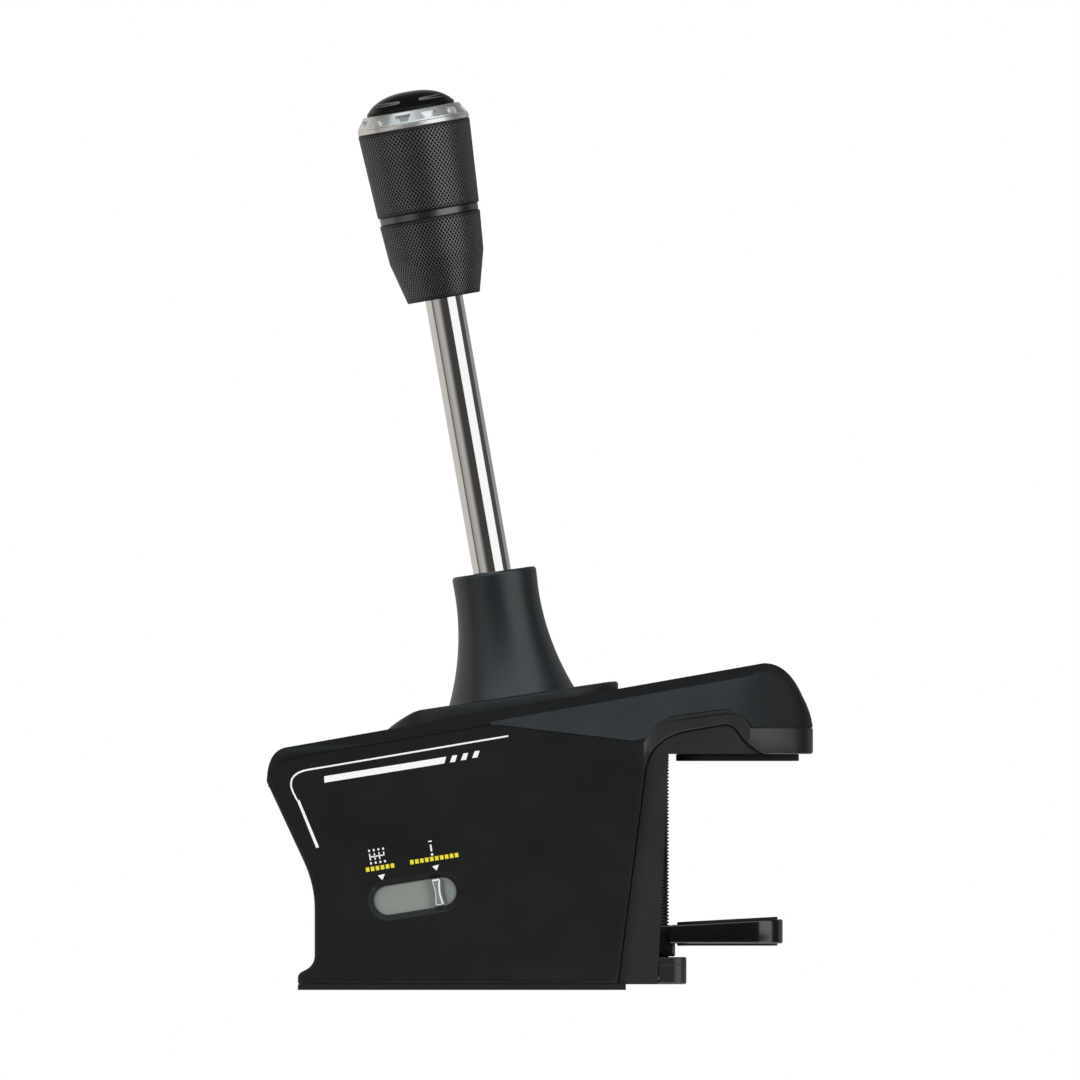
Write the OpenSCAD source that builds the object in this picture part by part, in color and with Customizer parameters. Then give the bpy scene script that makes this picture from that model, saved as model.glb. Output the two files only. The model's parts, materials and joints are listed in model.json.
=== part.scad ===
// Sim racing gear shifter with a desk clamp.
// X points to the desk, the driver sits at -X and the mode switch is on the -Y side.
// The origin is on the floor under the middle of the part, and lengths are millimetres.

/* [Housing] */
// Width across the two side panels
body_w = 92; // [84:1:110]
// Front wall at the waist, ahead of the origin
waist_front = 83.6; // [78:0.2:90]
// How far the foot stands out in front of the waist
foot_flare = 6.2; // [4:0.2:9]
// Height of the upright edge of the foot
foot_edge_h = 2.5; // [2:0.1:3.5]
// Height of the foot's sloping shoulder
foot_shoulder_h = 5.1; // [4.6:0.1:7]
// Slope of that shoulder, degrees
foot_tilt = 23.5; // [15:0.5:30]
// Height of the hollow blend from shoulder to waist
foot_blend_h = 5.8; // [4:0.2:10]
// Height at which the front starts to lean out
waist_h = 30; // [26:0.5:34]
// Lean of the front from upright, degrees
brow_lean = 25; // [20:0.5:28]
// Height of the front edge, where the cover starts
brow_h = 77.4; // [74:0.2:80]
// Length of the rounded brow along the top face
brow_cut = 6; // [4:0.1:9]
// Moulded wall thickness
wall = 3; // [2:0.1:4]
// Height of the top face above the origin
top_h = 106.4; // [103:0.2:110]
// Slope of the top face, degrees
top_tilt = 10; // [8:0.5:11]
// Depth of the cover's edge below the top face, at the front
cover_depth = 4.4; // [3.5:0.1:7]
// Bevel along the two long edges of the cover
cover_bevel = 4; // [2:0.5:5]
// Clearance between pieces that are put together
fit_gap = 0.2; // [0.1:0.05:0.3]

/* [Hood over the desk] */
// Front of the hood from the origin
hood_reach = 100.8; // [96:0.2:110]
// Height of the hood's underside
hood_under = 87.3; // [84:0.1:92]
// Height of the hood's skirt
skirt_h = 9.5; // [7:0.5:11]
// Corner radius of the hood seen from above
hood_corner_r = 16; // [6:1:24]

/* [Sole and base] */
// Thickness of the rubber sole
sole_t = 2.1; // [1.6:0.1:4]
// Rear end of the sole from the origin
sole_rear = 31.6; // [26:0.2:36]
// Thickness of the base plate
base_t = 3; // [2.5:0.1:4]
// Distance between fixing inserts along X
insert_pitch_x = 50; // [44:1:52]
// Distance between fixing inserts along Y
insert_pitch_y = 58; // [52:1:60]
// Core radius of the thread in a fixing insert
insert_core_r = 2.5; // [2:0.1:3]

/* [Desk clamp] */
// Radius of the clamp screw
screw_r = 4; // [3:0.25:5]
// Clamp screw axis from the origin
screw_x = 43.6; // [42.5:0.1:44.5]
// Width of the slot that guides the lower jaw
slot_w = 30.4; // [26:0.2:36]
// Width of the two jaws
jaw_w = 62; // [50:1:76]
// Free end of the lower jaw from the origin
jaw_reach = 89.6; // [84:0.1:94]
// Height of the lower jaw's hub
jaw_hub_h = 11.6; // [10:0.1:14]
// Thickness of the jaw pads
pad_t = 2.6; // [1.8:0.1:3.5]
// How far the lower pad stands out of its bed
pad_proud = 1; // [0.5:0.1:1.5]
// Jaw travel
jaw_travel = 50; // [40:0.5:50]
// Running clearance on a radius
run_gap = 0.05; // [0.02:0.01:0.09]

/* [Lever] */
// Pivot from the origin
pivot_x = -1.7; // [-4:0.1:1]
// Height of the pivot
pivot_h = 63; // [61:0.5:64]
// Lean of the lever at rest, degrees
lever_tilt = 10; // [8:0.5:11]
// Radius of the lever shaft
shaft_r = 7; // [5.5:0.25:8]
// Pivot to the lower edge of the knob
knob_low = 196; // [180:1:230]
// Radius of the pivot pins
pin_r = 4; // [3:0.25:4.5]
// Lean of the shroud, degrees
shroud_tilt = 7.5; // [6:0.5:9]
// Radius of the shroud's collar
shroud_top_r = 15.4; // [13:0.1:17]
// Radius of the shroud's foot
shroud_low_r = 23.1; // [21:0.1:24]
// Height of the shroud above the bezel
shroud_h = 47; // [40:0.5:56]
// Radius of the dust dome about the pivot
dome_r = 38; // [36:0.2:38.4]

/* [Knob] */
// Length of the knurled sleeve
sleeve_len = 64.2; // [54:0.2:76]
// Radius of the sleeve at its top
sleeve_top_r = 20.9; // [18.6:0.1:24]
// Radius of the sleeve at its smooth band
sleeve_band_r = 18.8; // [17.5:0.1:21]
// Radius of the sleeve where it starts to close in
sleeve_kink_r = 17.6; // [15.5:0.1:18]
// Radius of the sleeve's lower edge
sleeve_low_r = 13.5; // [11.5:0.1:15]
// Thickness of the sleeve
sleeve_t = 2; // [1.5:0.1:2.5]
// Height of the bright ring
ring_h = 6.4; // [5:0.1:9]
// Radius of the cap
cap_r = 16.4; // [13:0.1:16.8]
// Height of the cap's dome
cap_dome_h = 7.8; // [4:0.1:10]

/* [Mode switch] */
// Switch window from the origin
window_x = -46.4; // [-50:0.2:-44]
// Height of the switch window
window_z = 34.8; // [32:0.2:38]
// Length of the switch window
window_len = 30.4; // [26:0.2:32]
// Height of the switch window's opening
window_h = 10.4; // [8:0.2:12]
// Slope of the switch window, degrees
window_tilt = 9.1; // [6:0.1:12]
// Width of the bevel round the window
window_bevel = 2.4; // [1:0.1:2.6]
// Travel of the mode switch
mode_travel = 16.4; // [12:0.2:16.4]

/* [Hidden] */
$fn = 64;

// Heights of the base
base_z = sole_t;
base_top = base_z + base_t;
far = 300;

// Front of the housing
bend_h = 9;
lean_start = waist_h + bend_h;
lean_slope = tan(brow_lean);
top_slope = tan(top_tilt);
front_x = -waist_front - (brow_h - lean_start) * lean_slope;
// The cover's front edge leans back, up to the corner of the brow
brow_back = 7.5;
brow_edge_h = 3;
brow_x = (front_x + (top_h - brow_h) * tan(brow_back)) / (1 - top_slope * tan(brow_back));
brow_wall = 6.5;
front_corner_r = 2;
foot_round = 2.3;
foot_lip = 0.6;
inner_w = body_w - 2 * wall;

// Hood and nose
skirt_top = hood_under + skirt_h;
nose_run = 18.3;
nose_tip = 9.2;
nose_drop = 1.4;
nose_mid = 3.9;
nose_face_h = 12;
lip_r = 1;

// Clamp frame, whose flank shows behind the side panel
frame_w = inner_w - 2 * fit_gap;
frame_low_x = screw_x - 15.1;
frame_high_x = screw_x - 4.9;
frame_shoulder = 5.9;
frame_lap = 8;
frame_side_t = 5;
base_rear_gap = 4.5;
frame_foot_t = 4;
frame_foot_y = 28;
frame_foot_len = 26;
slot_front = screw_x - screw_r - 4.5;
web_t = 4.9;
arm_plate_t = 4.7;
arm_bore_len = 7.7;
seam_break_x = -17.2;
seam_break_depth = 5.4;
seam_run = 11;
seam_drop = 0.6;
arch_bevel = 2.2;

// Lower end of the clamp screw
head_r = screw_r + 2.5;
head_h = 4;
head_low = base_z + 0.6;
ring_t = 1;
bearing_h = 7;
cap_h = 3.1;
bearing_top = base_z + bearing_h;
bearing_reach = screw_x + 10.4;
bearing_w = slot_w + 26;
bearing_corner_r = 5;

// Jaws
jaw_low = bearing_top + cap_h + fit_gap;
jaw_hub_rear = screw_x + 6.2;
jaw_arm_x = screw_x + 4.4;
jaw_arm_low = jaw_low + 4.8;
jaw_rise = 2.25;
jaw_rib_h = 0.85;
jaw_rib_w = 4;
jaw_pad_x = screw_x + 6.9;
jaw_pad_end = 1.9;
upper_pad_x = screw_x + 6.5;
upper_pad_reach = hood_reach - 5.2;
nut_r = screw_r + 1.5;
nut_h = 7.4;
jaw_corner_r = 10;

// Gimbal
hub_x = 22;
hub_y = 24;
hub_low = -12;
hub_collar_r = shaft_r + 4;
cradle_x = 42;
cradle_y = 54;
cradle_z = 18;
cradle_window_x = 30;
cradle_window_y = 38;
upright_t = 6;
upright_gap = 1.6;
upright_w = 32;
upright_head = 10;
upright_at = cradle_x / 2 * cos(lever_tilt) + cradle_z / 2 * sin(lever_tilt) + upright_gap;
bracket_rear = pivot_x + upright_at + upright_t;
bracket_foot_w = 36;
bracket_foot_front = 10;
bush_r = pin_r + 2;
gate_z = -36;
gate_t = 4;
gate_w = 36;
gate_window_x = 24;
gate_window_y = 21;
gate_pin_len = 38;
gate_tip_r = 5;
sensor_t = 1.6;
sensor_h = 14;
magnet_t = 2;
magnet_r = 3;
spring_wire_r = 0.7;
spring_r = 7;
spring_gap = 0.3;
pin_front = 40;
shaft_foot = 8;

// Bezel and shroud, the bezel slopes a little less than the cover
bezel_front = -56.8;
bezel_crest = -46.1;
bezel_rear = 28.7;
bezel_rise = 5;
bezel_tilt = 8.5;
bezel_w = 76;
bezel_corner_r = 24;
opening_x = 66;
opening_y = 61;
opening_r = 27;
opening_at = 44;
shroud_top = pivot_h + (shroud_h + 46.2) * cos(lever_tilt);
shroud_x = pivot_x - (shroud_top - pivot_h) * tan(lever_tilt) + 0.6;
shroud_t = 2;
shroud_neck = 8;
shroud_rim = 1.5;
skirt_r = shroud_low_r - 0.8;
skirt_t = 2.5;
skirt_low = sqrt(dome_r * dome_r - pow(skirt_r - skirt_t, 2)) + spring_gap;
skirt_high = 47;
dome_t = 1.6;
dome_edge = 54;

// Knob
knob_top = knob_low + sleeve_len;
band_low = 30.1;
band_high = 32.9;
band_depth = 0.5;
kink_at = 15.6;
ring_lip = 2;
ring_top_r = cap_r + 1.5;
pocket_count = 12;
pocket_turn = 19.5;
pocket_low = 2.5;
pocket_high = 5.1;
pocket_low_w = 3.7;
pocket_high_w = 6.2;
pocket_floor_r = ring_top_r - 0.7;
cap_side = 1.5;
cap_seat = ring_h - 1;
shaft_top = knob_low + 40;

// Fasteners
bolt_r = 1.6;
bolt_hole_r = 1.65;
bolt_head_r = 3;
bolt_head_h = 2;
base_bolt_len = 12;
foot_bolt_len = 8.2;
cover_bolt_len = 16;
bearing_bolt_len = 16;
board_bolt_len = 8;
boss_r = 4;
base_boss_top = 20;
base_bolt_x = [-72, -36];
base_bolt_y = inner_w / 2 - boss_r + 0.5;
bracket_bolt_y = 12;
cover_bolt_x = [screw_x + 16.6, hood_reach - 19.4];
cover_bolt_y = 30;
frame_bolt_x = [9, 19];
frame_bolt_y = (frame_foot_y + frame_w / 2) / 2;
bearing_bolt_y = slot_w / 2 + 4.5;
bearing_bolt_z = base_z + 3.4;
insert_x = -37;
insert_r = 4.5;
insert_boss_r = 8;
insert_boss_h = 4.4;
insert_hole_r = 3.5;

// Boards
board_z = base_top + 6.4;
board_x = [-66, -42];
board_y = [-20, inner_w / 2 - 1];
board_t = 1.6;
board_post_r = 2.5;
board_inset = 4;
usb_w = 9;
usb_h = 3.4;
usb_len = 8;

// Mode switch
slider_t = 1.6;
slider_over = 0.5;
slider_h = window_h + 2.6;
rail_w = 1.6;
tab_w = 3.2;
tab_waist = 1.9;
tab_proud = 0;
tab_at = 8.4;
mode_post_y = 5;
mode_post_x = 12;
mode_post_z = slider_h / 2 + rail_w + 3.5;

function top_z(x) = top_h + x * top_slope;
function lean_x(z) = -waist_front - (z - lean_start) * lean_slope;
function curve(a, b, c, n = 6) =
    [for (i = [0:n]) let (t = i / n) (1 - t) * (1 - t) * a + 2 * t * (1 - t) * b + t * t * c];
function bound_x(z) = frame_low_x
    + (z - base_z) * (frame_high_x - frame_low_x) / (hood_under - frame_shoulder - base_z);
function rear_x(z) = screw_x - 0.3 + (z - base_z) * 4.1 / (hood_under - base_z);
// A point given from the shoulder of the arch
function arch(x, z) = [frame_high_x + x, hood_under + z];

// The two edges of the band round the arch: the cover's edge and the opening for the clamp frame
arch_outer = concat(curve(arch(-0.6, 4.1), arch(3.9, 12.5), arch(9.3, 13.6)),
    curve(arch(28.6, 16.3), arch(34.1, 17.3), arch(36.6, 13.3)), [arch(39, skirt_h)]);
arch_inner = concat(curve(arch(0, -frame_shoulder), arch(1.9, 6.1), arch(15.4, 8.7)),
    curve(arch(28.8, 11), arch(32.4, 11.6), arch(34.8, 7.7)));

// Flat shapes

module round_rect(low, high, r) {
    translate([low.x + r, low.y]) square([high.x - low.x - 2 * r, high.y - low.y]);
    translate([low.x, low.y + r]) square([high.x - low.x, high.y - low.y - 2 * r]);
    for (x = [low.x + r, high.x - r], y = [low.y + r, high.y - r])
        translate([x, y]) circle(r);
}

module centred_rect(size, r) {
    round_rect(-size / 2, size / 2, r);
}

// Side outline of housing, cover and hood together
module body_outline() {
    foot_x = -waist_front - foot_flare;
    shoulder_z = base_z + foot_shoulder_h;
    foot_slope = tan(foot_tilt);
    brow = [brow_x, top_z(brow_x)];
    brow_edge = [front_x + brow_edge_h * tan(brow_back), brow_h + brow_edge_h];
    nose_top = [hood_reach - nose_run, top_z(hood_reach - nose_run)];
    nose_bend = [hood_reach - nose_tip, top_z(hood_reach - nose_tip) - nose_drop];
    nose_face = [hood_reach - nose_mid, skirt_top + nose_face_h];
    polygon(concat(
        [[foot_x + foot_lip, base_z], [foot_x, base_z + foot_lip]],
        curve([foot_x, base_z + foot_edge_h], [foot_x, shoulder_z - foot_round * foot_slope],
            [foot_x + foot_round, shoulder_z], 4),
        curve([foot_x + foot_round, shoulder_z],
            [-waist_front, shoulder_z + (foot_flare - foot_round) * foot_slope],
            [-waist_front, shoulder_z + foot_blend_h]),
        curve([-waist_front, waist_h], [-waist_front, lean_start],
            [lean_x(lean_start + bend_h), lean_start + bend_h]),
        [[front_x, brow_h]],
        curve(brow_edge, brow, brow + brow_cut * [cos(top_tilt), sin(top_tilt)], 10),
        curve(nose_top, nose_bend, nose_face, 8),
        curve(nose_face, [hood_reach - 0.6, (nose_face.y + skirt_top) / 2], [hood_reach, skirt_top], 4),
        [[hood_reach, hood_under + lip_r], [hood_reach - lip_r, hood_under]],
        [[screw_x, hood_under], [screw_x, base_z]]
    ));
}

// Everything under the line where the cover meets the housing
module below_seam() {
    start_x = front_x + seam_run;
    bend_x = front_x + 0.3 * seam_run;
    polygon(concat(
        [[-far, -far], [-far, brow_h - seam_drop]],
        curve([front_x, brow_h - seam_drop], [bend_x, top_z(bend_x) - cover_depth],
            [start_x, top_z(start_x) - cover_depth]),
        [[seam_break_x, top_z(seam_break_x) - seam_break_depth]],
        arch_outer, [[far, skirt_top], [far, -far]]
    ));
}

// The arch in the side panel, where the clamp frame shows
module arch_void() {
    polygon(concat(
        [[bound_x(-far), -far]], arch_inner,
        curve(arch(34.8, 7.7), arch(37.8, 3), arch(44, 0), 4),
        [[frame_high_x + 44, -far]]
    ));
}

// Slot with round ends
module stadium(len, height) {
    square([len - height, height], center = true);
    for (x = [-1, 1] * (len - height) / 2) translate([x, 0]) circle(height / 2);
}

// Placing

module along_y(width) {
    translate([0, width / 2, 0]) rotate([90, 0, 0]) linear_extrude(width) children();
}

module in_lever() {
    translate([pivot_x, 0, pivot_h]) rotate([0, -lever_tilt, 0]) children();
}

// Local x runs along the window, y across it and z out of the side panel
module at_window() {
    translate([window_x, -body_w / 2, window_z]) rotate([0, -window_tilt, 0]) rotate([90, 0, 0]) children();
}

// Wedge that bevels the band round the arch, deeper towards its inner edge
module arch_wedge() {
    over = 1.15;
    face = -body_w / 2;
    rise = 3;
    inner = concat(arch_inner, [arch(38.4, 3.2)]);
    last = len(inner) - 1;
    points = [for (i = [0:last])
        let (out = arch_outer[i], edge = out + over * (inner[i] - out),
            depth = arch_bevel * over * min(1, (i + 0.1) / rise))
        each [[out.x, face - 0.02, out.y], [edge.x, face + depth, edge.y],
            [edge.x, face - 1, edge.y], [out.x, face - 1, out.y]]];
    walls = [for (i = [0:last - 1], k = [0:3])
        let (a = 4 * i + k, b = 4 * i + (k + 1) % 4) each [[a, b, a + 4], [b, b + 4, a + 4]]];
    end = 4 * last;
    polyhedron(points, concat(walls, [[0, 2, 1], [0, 3, 2]],
        [[end, end + 1, end + 2], [end, end + 2, end + 3]]));
}

module both_sides() {
    children();
    mirror([0, 1, 0]) children();
}

module plan_prism(inset) {
    translate([0, 0, -far]) linear_extrude(2 * far)
        union() {
            round_rect([front_x + inset, inset - body_w / 2], [0, body_w / 2 - inset],
                max(front_corner_r - inset, 0.5));
            round_rect([-50, inset - body_w / 2], [hood_reach - inset, body_w / 2 - inset], hood_corner_r - inset);
        }
}

// A bolt standing on its head, shank up
module bolt(len) {
    cylinder(r = bolt_head_r, h = bolt_head_h);
    cylinder(r = bolt_r, h = len);
}

// Base and housing

module insert_places() {
    for (x = [-1, 1] * insert_pitch_x / 2, y = [-1, 1] * insert_pitch_y / 2)
        translate([insert_x + x, y, 0]) children();
}

module base_bolt_places() {
    for (x = base_bolt_x, y = [-1, 1] * base_bolt_y) translate([x, y, 0]) children();
}

module frame_bolt_places() {
    for (x = frame_bolt_x, y = [-1, 1] * frame_bolt_y) translate([x, y, 0]) children();
}

module bracket_bolt_places() {
    front = pivot_x - upright_at - upright_t - bracket_foot_front / 2;
    rear = pivot_x + upright_at - upright_t;
    for (x = [front, rear], y = [-1, 1] * bracket_bolt_y) translate([x, y, 0]) children();
}

module board_places() {
    for (x = [board_x[0] + board_inset, board_x[1] - board_inset],
            y = [board_y[0] + board_inset, board_y[1] - board_inset])
        translate([x, y, 0]) children();
}

module rubber_sole() {
    color("#151516") difference() {
        linear_extrude(sole_t)
            round_rect([-waist_front - foot_flare, -body_w / 2], [sole_rear, body_w / 2], front_corner_r);
        insert_places() translate([0, 0, -1]) cylinder(r = insert_hole_r, h = sole_t + 2);
    }
}

module base_plate() {
    rear = frame_low_x - base_rear_gap;
    color("#3a3b3d") difference() {
        union() {
            translate([0, 0, base_z]) linear_extrude(base_t)
                round_rect([wall + fit_gap - waist_front, fit_gap - inner_w / 2],
                    [rear, inner_w / 2 - fit_gap], 2);
            insert_places() translate([0, 0, base_top]) cylinder(r = insert_boss_r, h = insert_boss_h);
            board_places() translate([0, 0, base_top]) cylinder(r = board_post_r, h = board_z - base_top);
        }
        insert_places() translate([0, 0, base_z - 1]) cylinder(r = insert_r, h = far);
        board_places() translate([0, 0, base_z + 1]) cylinder(r = bolt_hole_r, h = far);
        base_bolt_places() {
            translate([0, 0, base_z - 1]) cylinder(r = bolt_hole_r, h = far);
            translate([0, 0, base_z - 1]) cylinder(r = bolt_head_r + fit_gap, h = bolt_head_h + 1);
        }
        frame_bolt_places() translate([0, 0, base_z + 0.4]) cylinder(r = bolt_hole_r, h = far);
        bracket_bolt_places() translate([0, 0, base_z + 0.4]) cylinder(r = bolt_hole_r, h = far);
    }
}

module main_housing() {
    inner_brow = front_x + brow_wall;
    inner_brow_z = lean_start - (inner_brow - wall * 1.1 + waist_front) / lean_slope;
    color("#1b1c1e") difference() {
        union() {
            difference() {
                intersection() {
                    along_y(body_w) difference() {
                        intersection() {
                            body_outline();
                            below_seam();
                        }
                        arch_void();
                    }
                    plan_prism(0);
                }
                intersection() {
                    along_y(inner_w) polygon([
                        [wall - waist_front, -far], [wall - waist_front, waist_h],
                        [wall * 1.1 - waist_front, lean_start], [inner_brow, inner_brow_z],
                        [inner_brow, far], [hood_reach - wall, far], [hood_reach - wall, -far]
                    ]);
                    plan_prism(wall);
                }
            }
            base_bolt_places() translate([0, 0, base_top]) cylinder(r = boss_r, h = base_boss_top - base_top);
            at_window() {
                for (y = [-1, 1] * (slider_h + rail_w + 2 * fit_gap) / 2)
                    translate([-window_len / 2, y - rail_w / 2, -wall - slider_t - fit_gap])
                        cube([window_len, rail_w, slider_t + fit_gap + 1]);
                for (x = [-1, 1] * mode_post_x, y = [-1, 1] * mode_post_z)
                    translate([x, y, -wall - mode_post_y]) cylinder(r = board_post_r, h = mode_post_y + 1);
            }
        }
        both_sides() arch_wedge();
        base_bolt_places() translate([0, 0, base_top - 1]) cylinder(r = bolt_hole_r, h = base_boss_top);
        at_window() {
            translate([0, 0, -wall - 1]) linear_extrude(wall + 2) stadium(window_len, window_h);
            window_bevel_cut();
        }
        translate([(board_x[0] + board_x[1]) / 2, body_w / 2, board_z + board_t + usb_h / 2])
            cube([usb_w + 2 * fit_gap, 4 * wall, usb_h + 2 * fit_gap], center = true);
    }
}

// Sloping sides of the recess round the window
module window_bevel_cut() {
    over = 1;
    half = (window_len - window_h) / 2;
    low = window_h / 2;
    high = low + window_bevel + over;
    for (x = [-1, 1] * half)
        translate([x, 0, -window_bevel]) cylinder(r1 = low, r2 = high, h = window_bevel + over);
    rotate([90, 0, 90]) translate([0, 0, -half]) linear_extrude(2 * half)
        polygon([[-low, -window_bevel], [low, -window_bevel], [high, over], [-high, over]]);
}

module top_cover() {
    inset = wall / cos(top_tilt);
    inner_front = front_x + brow_wall;
    inner_nose = hood_reach - nose_tip - 2;
    half = body_w / 2;
    color("#17181a") difference() {
        union() {
            difference() {
                intersection() {
                    along_y(body_w) difference() {
                        body_outline();
                        below_seam();
                    }
                    plan_prism(0);
                    // Bevelled section, swept along the slope of the top
                    translate([0, 0, top_h]) rotate([0, -top_tilt, 0]) rotate([90, 0, 90])
                        translate([0, 0, -far]) linear_extrude(2 * far) polygon([
                            [-half, -far], [-half, -cover_bevel], [cover_bevel - half, 0],
                            [half - cover_bevel, 0], [half, -cover_bevel], [half, -far]
                        ]);
                }
                intersection() {
                    along_y(inner_w - 2 * fit_gap) polygon([
                        [inner_front, -far], [inner_front, top_z(inner_front) - inset],
                        [inner_nose, top_z(inner_nose) - inset],
                        [hood_reach - nose_mid - wall, (skirt_top + top_z(inner_nose)) / 2 - wall],
                        [hood_reach - wall, skirt_top], [hood_reach - wall, -far]
                    ]);
                    plan_prism(wall);
                    translate([0, 0, top_h - inset]) rotate([0, -top_tilt, 0]) rotate([90, 0, 90])
                        translate([0, 0, -far]) linear_extrude(2 * far) polygon([
                            [-half, -far], [-half, -cover_bevel - wall], [cover_bevel - half + wall, 0],
                            [half - cover_bevel - wall, 0], [half, -cover_bevel - wall], [half, -far]
                        ]);
                }
            }
            for (x = cover_bolt_x, y = [-1, 1] * cover_bolt_y) translate([x, y, hood_under + arm_plate_t])
                cylinder(r = boss_r, h = top_z(x) - hood_under - arm_plate_t - wall / 2);
        }
        in_lever() translate([0, 0, opening_at - 25]) linear_extrude(50)
            centred_rect([opening_x + 2, opening_y + 2], opening_r);
        for (x = cover_bolt_x, y = [-1, 1] * cover_bolt_y) translate([x, y, 0])
            cylinder(r = bolt_hole_r, h = hood_under + 18);
    }
}

module bezel_plate() {
    crest_z = top_z(bezel_crest) + bezel_rise;
    rear_z = crest_z + (bezel_rear - bezel_crest) * tan(bezel_tilt);
    edge = 2;
    color("#161718") difference() {
        intersection() {
            along_y(bezel_w) polygon(concat(
                [[bezel_rear, top_z(bezel_rear)]],
                curve([bezel_rear, rear_z - edge], [bezel_rear, rear_z], [bezel_rear - edge, rear_z - 0.2], 4),
                curve([bezel_crest, crest_z], [bezel_crest - 5, crest_z - 0.6], [bezel_front, top_z(bezel_front)])
            ));
            translate([0, 0, pivot_h]) linear_extrude(far)
                round_rect([bezel_front - 1, -bezel_w / 2], [bezel_rear, bezel_w / 2], bezel_corner_r);
        }
        in_lever() translate([0, 0, opening_at - 25]) linear_extrude(50)
            centred_rect([opening_x, opening_y], opening_r);
    }
}

module mount_inserts() {
    color("#b08d4a") insert_places() translate([0, 0, base_z]) difference() {
        cylinder(r = insert_r, h = base_t + insert_boss_h);
        translate([0, 0, -1]) cylinder(r = insert_core_r, h = far);
    }
}

// Desk clamp

module clamp_frame() {
    left = bound_x(hood_under) - frame_lap;
    arm_end = hood_reach - wall - fit_gap;
    color("#202123") difference() {
        union() {
            difference() {
                intersection() {
                    along_y(frame_w) polygon([
                        [frame_low_x - 2.7, base_z], [rear_x(base_z), base_z],
                        [rear_x(hood_under), hood_under], [arm_end, hood_under],
                        [arm_end, hood_under + 6], arch(41, 8), arch(32, 13), arch(8, 11),
                        [left, hood_under], [frame_low_x - 2.7, base_top]
                    ]);
                    plan_prism(wall + fit_gap);
                }
                // Seat of the gimbal's foot
                translate([0, -bracket_foot_w / 2 - fit_gap, base_top])
                    cube([bracket_rear + fit_gap, bracket_foot_w + 2 * fit_gap, frame_foot_t + 1]);
                // Room for the gimbal, and the hollow of the upper arm
                translate([0, frame_side_t - frame_w / 2, base_top + frame_foot_t])
                    cube([slot_front - web_t, frame_w - 2 * frame_side_t,
                        hood_under - 3.3 - base_top - frame_foot_t]);
                translate([upper_pad_x, frame_side_t - frame_w / 2, hood_under + arm_plate_t])
                    cube([arm_end - upper_pad_x - frame_side_t, frame_w - 2 * frame_side_t, far]);
                // Slot for the lower jaw
                translate([slot_front, -slot_w / 2, -1]) cube([far, slot_w, hood_under + 1]);
            }
            both_sides() translate([frame_low_x + 1 - frame_foot_len, frame_foot_y, base_top])
                cube([frame_foot_len, frame_w / 2 - frame_foot_y, frame_foot_t]);
        }
        translate([screw_x, 0, 0]) cylinder(r = screw_r + run_gap, h = hood_under + arm_bore_len);
        frame_bolt_places() cylinder(r = bolt_hole_r, h = base_top + frame_foot_t + 1);
        for (x = cover_bolt_x, y = [-1, 1] * cover_bolt_y) translate([x, y, hood_under - 1]) {
            cylinder(r = bolt_hole_r, h = far);
            cylinder(r = bolt_head_r + fit_gap, h = bolt_head_h + 1 + fit_gap);
        }
        for (y = [-1, 1] * bearing_bolt_y) translate([slot_front, y, bearing_bolt_z]) rotate([0, 90, 0])
            cylinder(r = bolt_hole_r, h = far);
    }
}

module upper_jaw_pad() {
    color("#141415") translate([0, 0, hood_under - pad_t]) linear_extrude(pad_t)
        round_rect([upper_pad_x, -jaw_w / 2], [upper_pad_reach, jaw_w / 2], jaw_corner_r);
}

// Outline of the block that carries the foot of the screw
module bearing_outline() {
    face = rear_x(bearing_top + cap_h) + run_gap;
    round_rect([face, -bearing_w / 2], [bearing_reach, bearing_w / 2], bearing_corner_r);
    translate([face, -bearing_w / 2]) square([bearing_corner_r, bearing_w]);
    translate([slot_front + fit_gap, fit_gap - slot_w / 2])
        square([bearing_corner_r + face - slot_front, slot_w - 2 * fit_gap]);
}

module screw_bearing() {
    color("#222326") difference() {
        translate([0, 0, base_z]) linear_extrude(bearing_h) bearing_outline();
        translate([screw_x, 0, base_z - 1]) {
            cylinder(r = screw_r + run_gap, h = far);
            cylinder(r = head_r + fit_gap, h = head_low - base_z + head_h + 1 + run_gap);
        }
        translate([screw_x, 0, bearing_top - ring_t - fit_gap]) cylinder(r = head_r + fit_gap, h = far);
        for (y = [-1, 1] * bearing_bolt_y) translate([screw_x, y, bearing_bolt_z]) rotate([0, 90, 0]) {
            translate([0, 0, -far]) cylinder(r = bolt_hole_r, h = 2 * far);
            translate([0, 0, bearing_reach - screw_x - bolt_head_h]) cylinder(r = bolt_head_r + fit_gap, h = far);
        }
    }
}

module bearing_cap() {
    color("#222326") translate([0, 0, bearing_top]) difference() {
        linear_extrude(cap_h) bearing_outline();
        translate([screw_x, 0, -1]) cylinder(r = screw_r + run_gap, h = far);
    }
}

module clamp_screw() {
    color("#9a9ca0") translate([screw_x, 0, 0]) difference() {
        union() {
            translate([0, 0, head_low]) cylinder(r = head_r, h = head_h);
            translate([0, 0, head_low]) cylinder(r = screw_r, h = hood_under + arm_bore_len - head_low - 0.5);
        }
        translate([0, 0, head_low - 1]) cylinder(r = screw_r * 0.85, h = head_h, $fn = 6);
    }
}

module thrust_ring() {
    color("#77797d") translate([screw_x, 0, bearing_top - ring_t - fit_gap / 2]) difference() {
        cylinder(r = head_r - 0.5, h = ring_t);
        translate([0, 0, -1]) cylinder(r = screw_r, h = ring_t + 2);
    }
}

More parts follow.
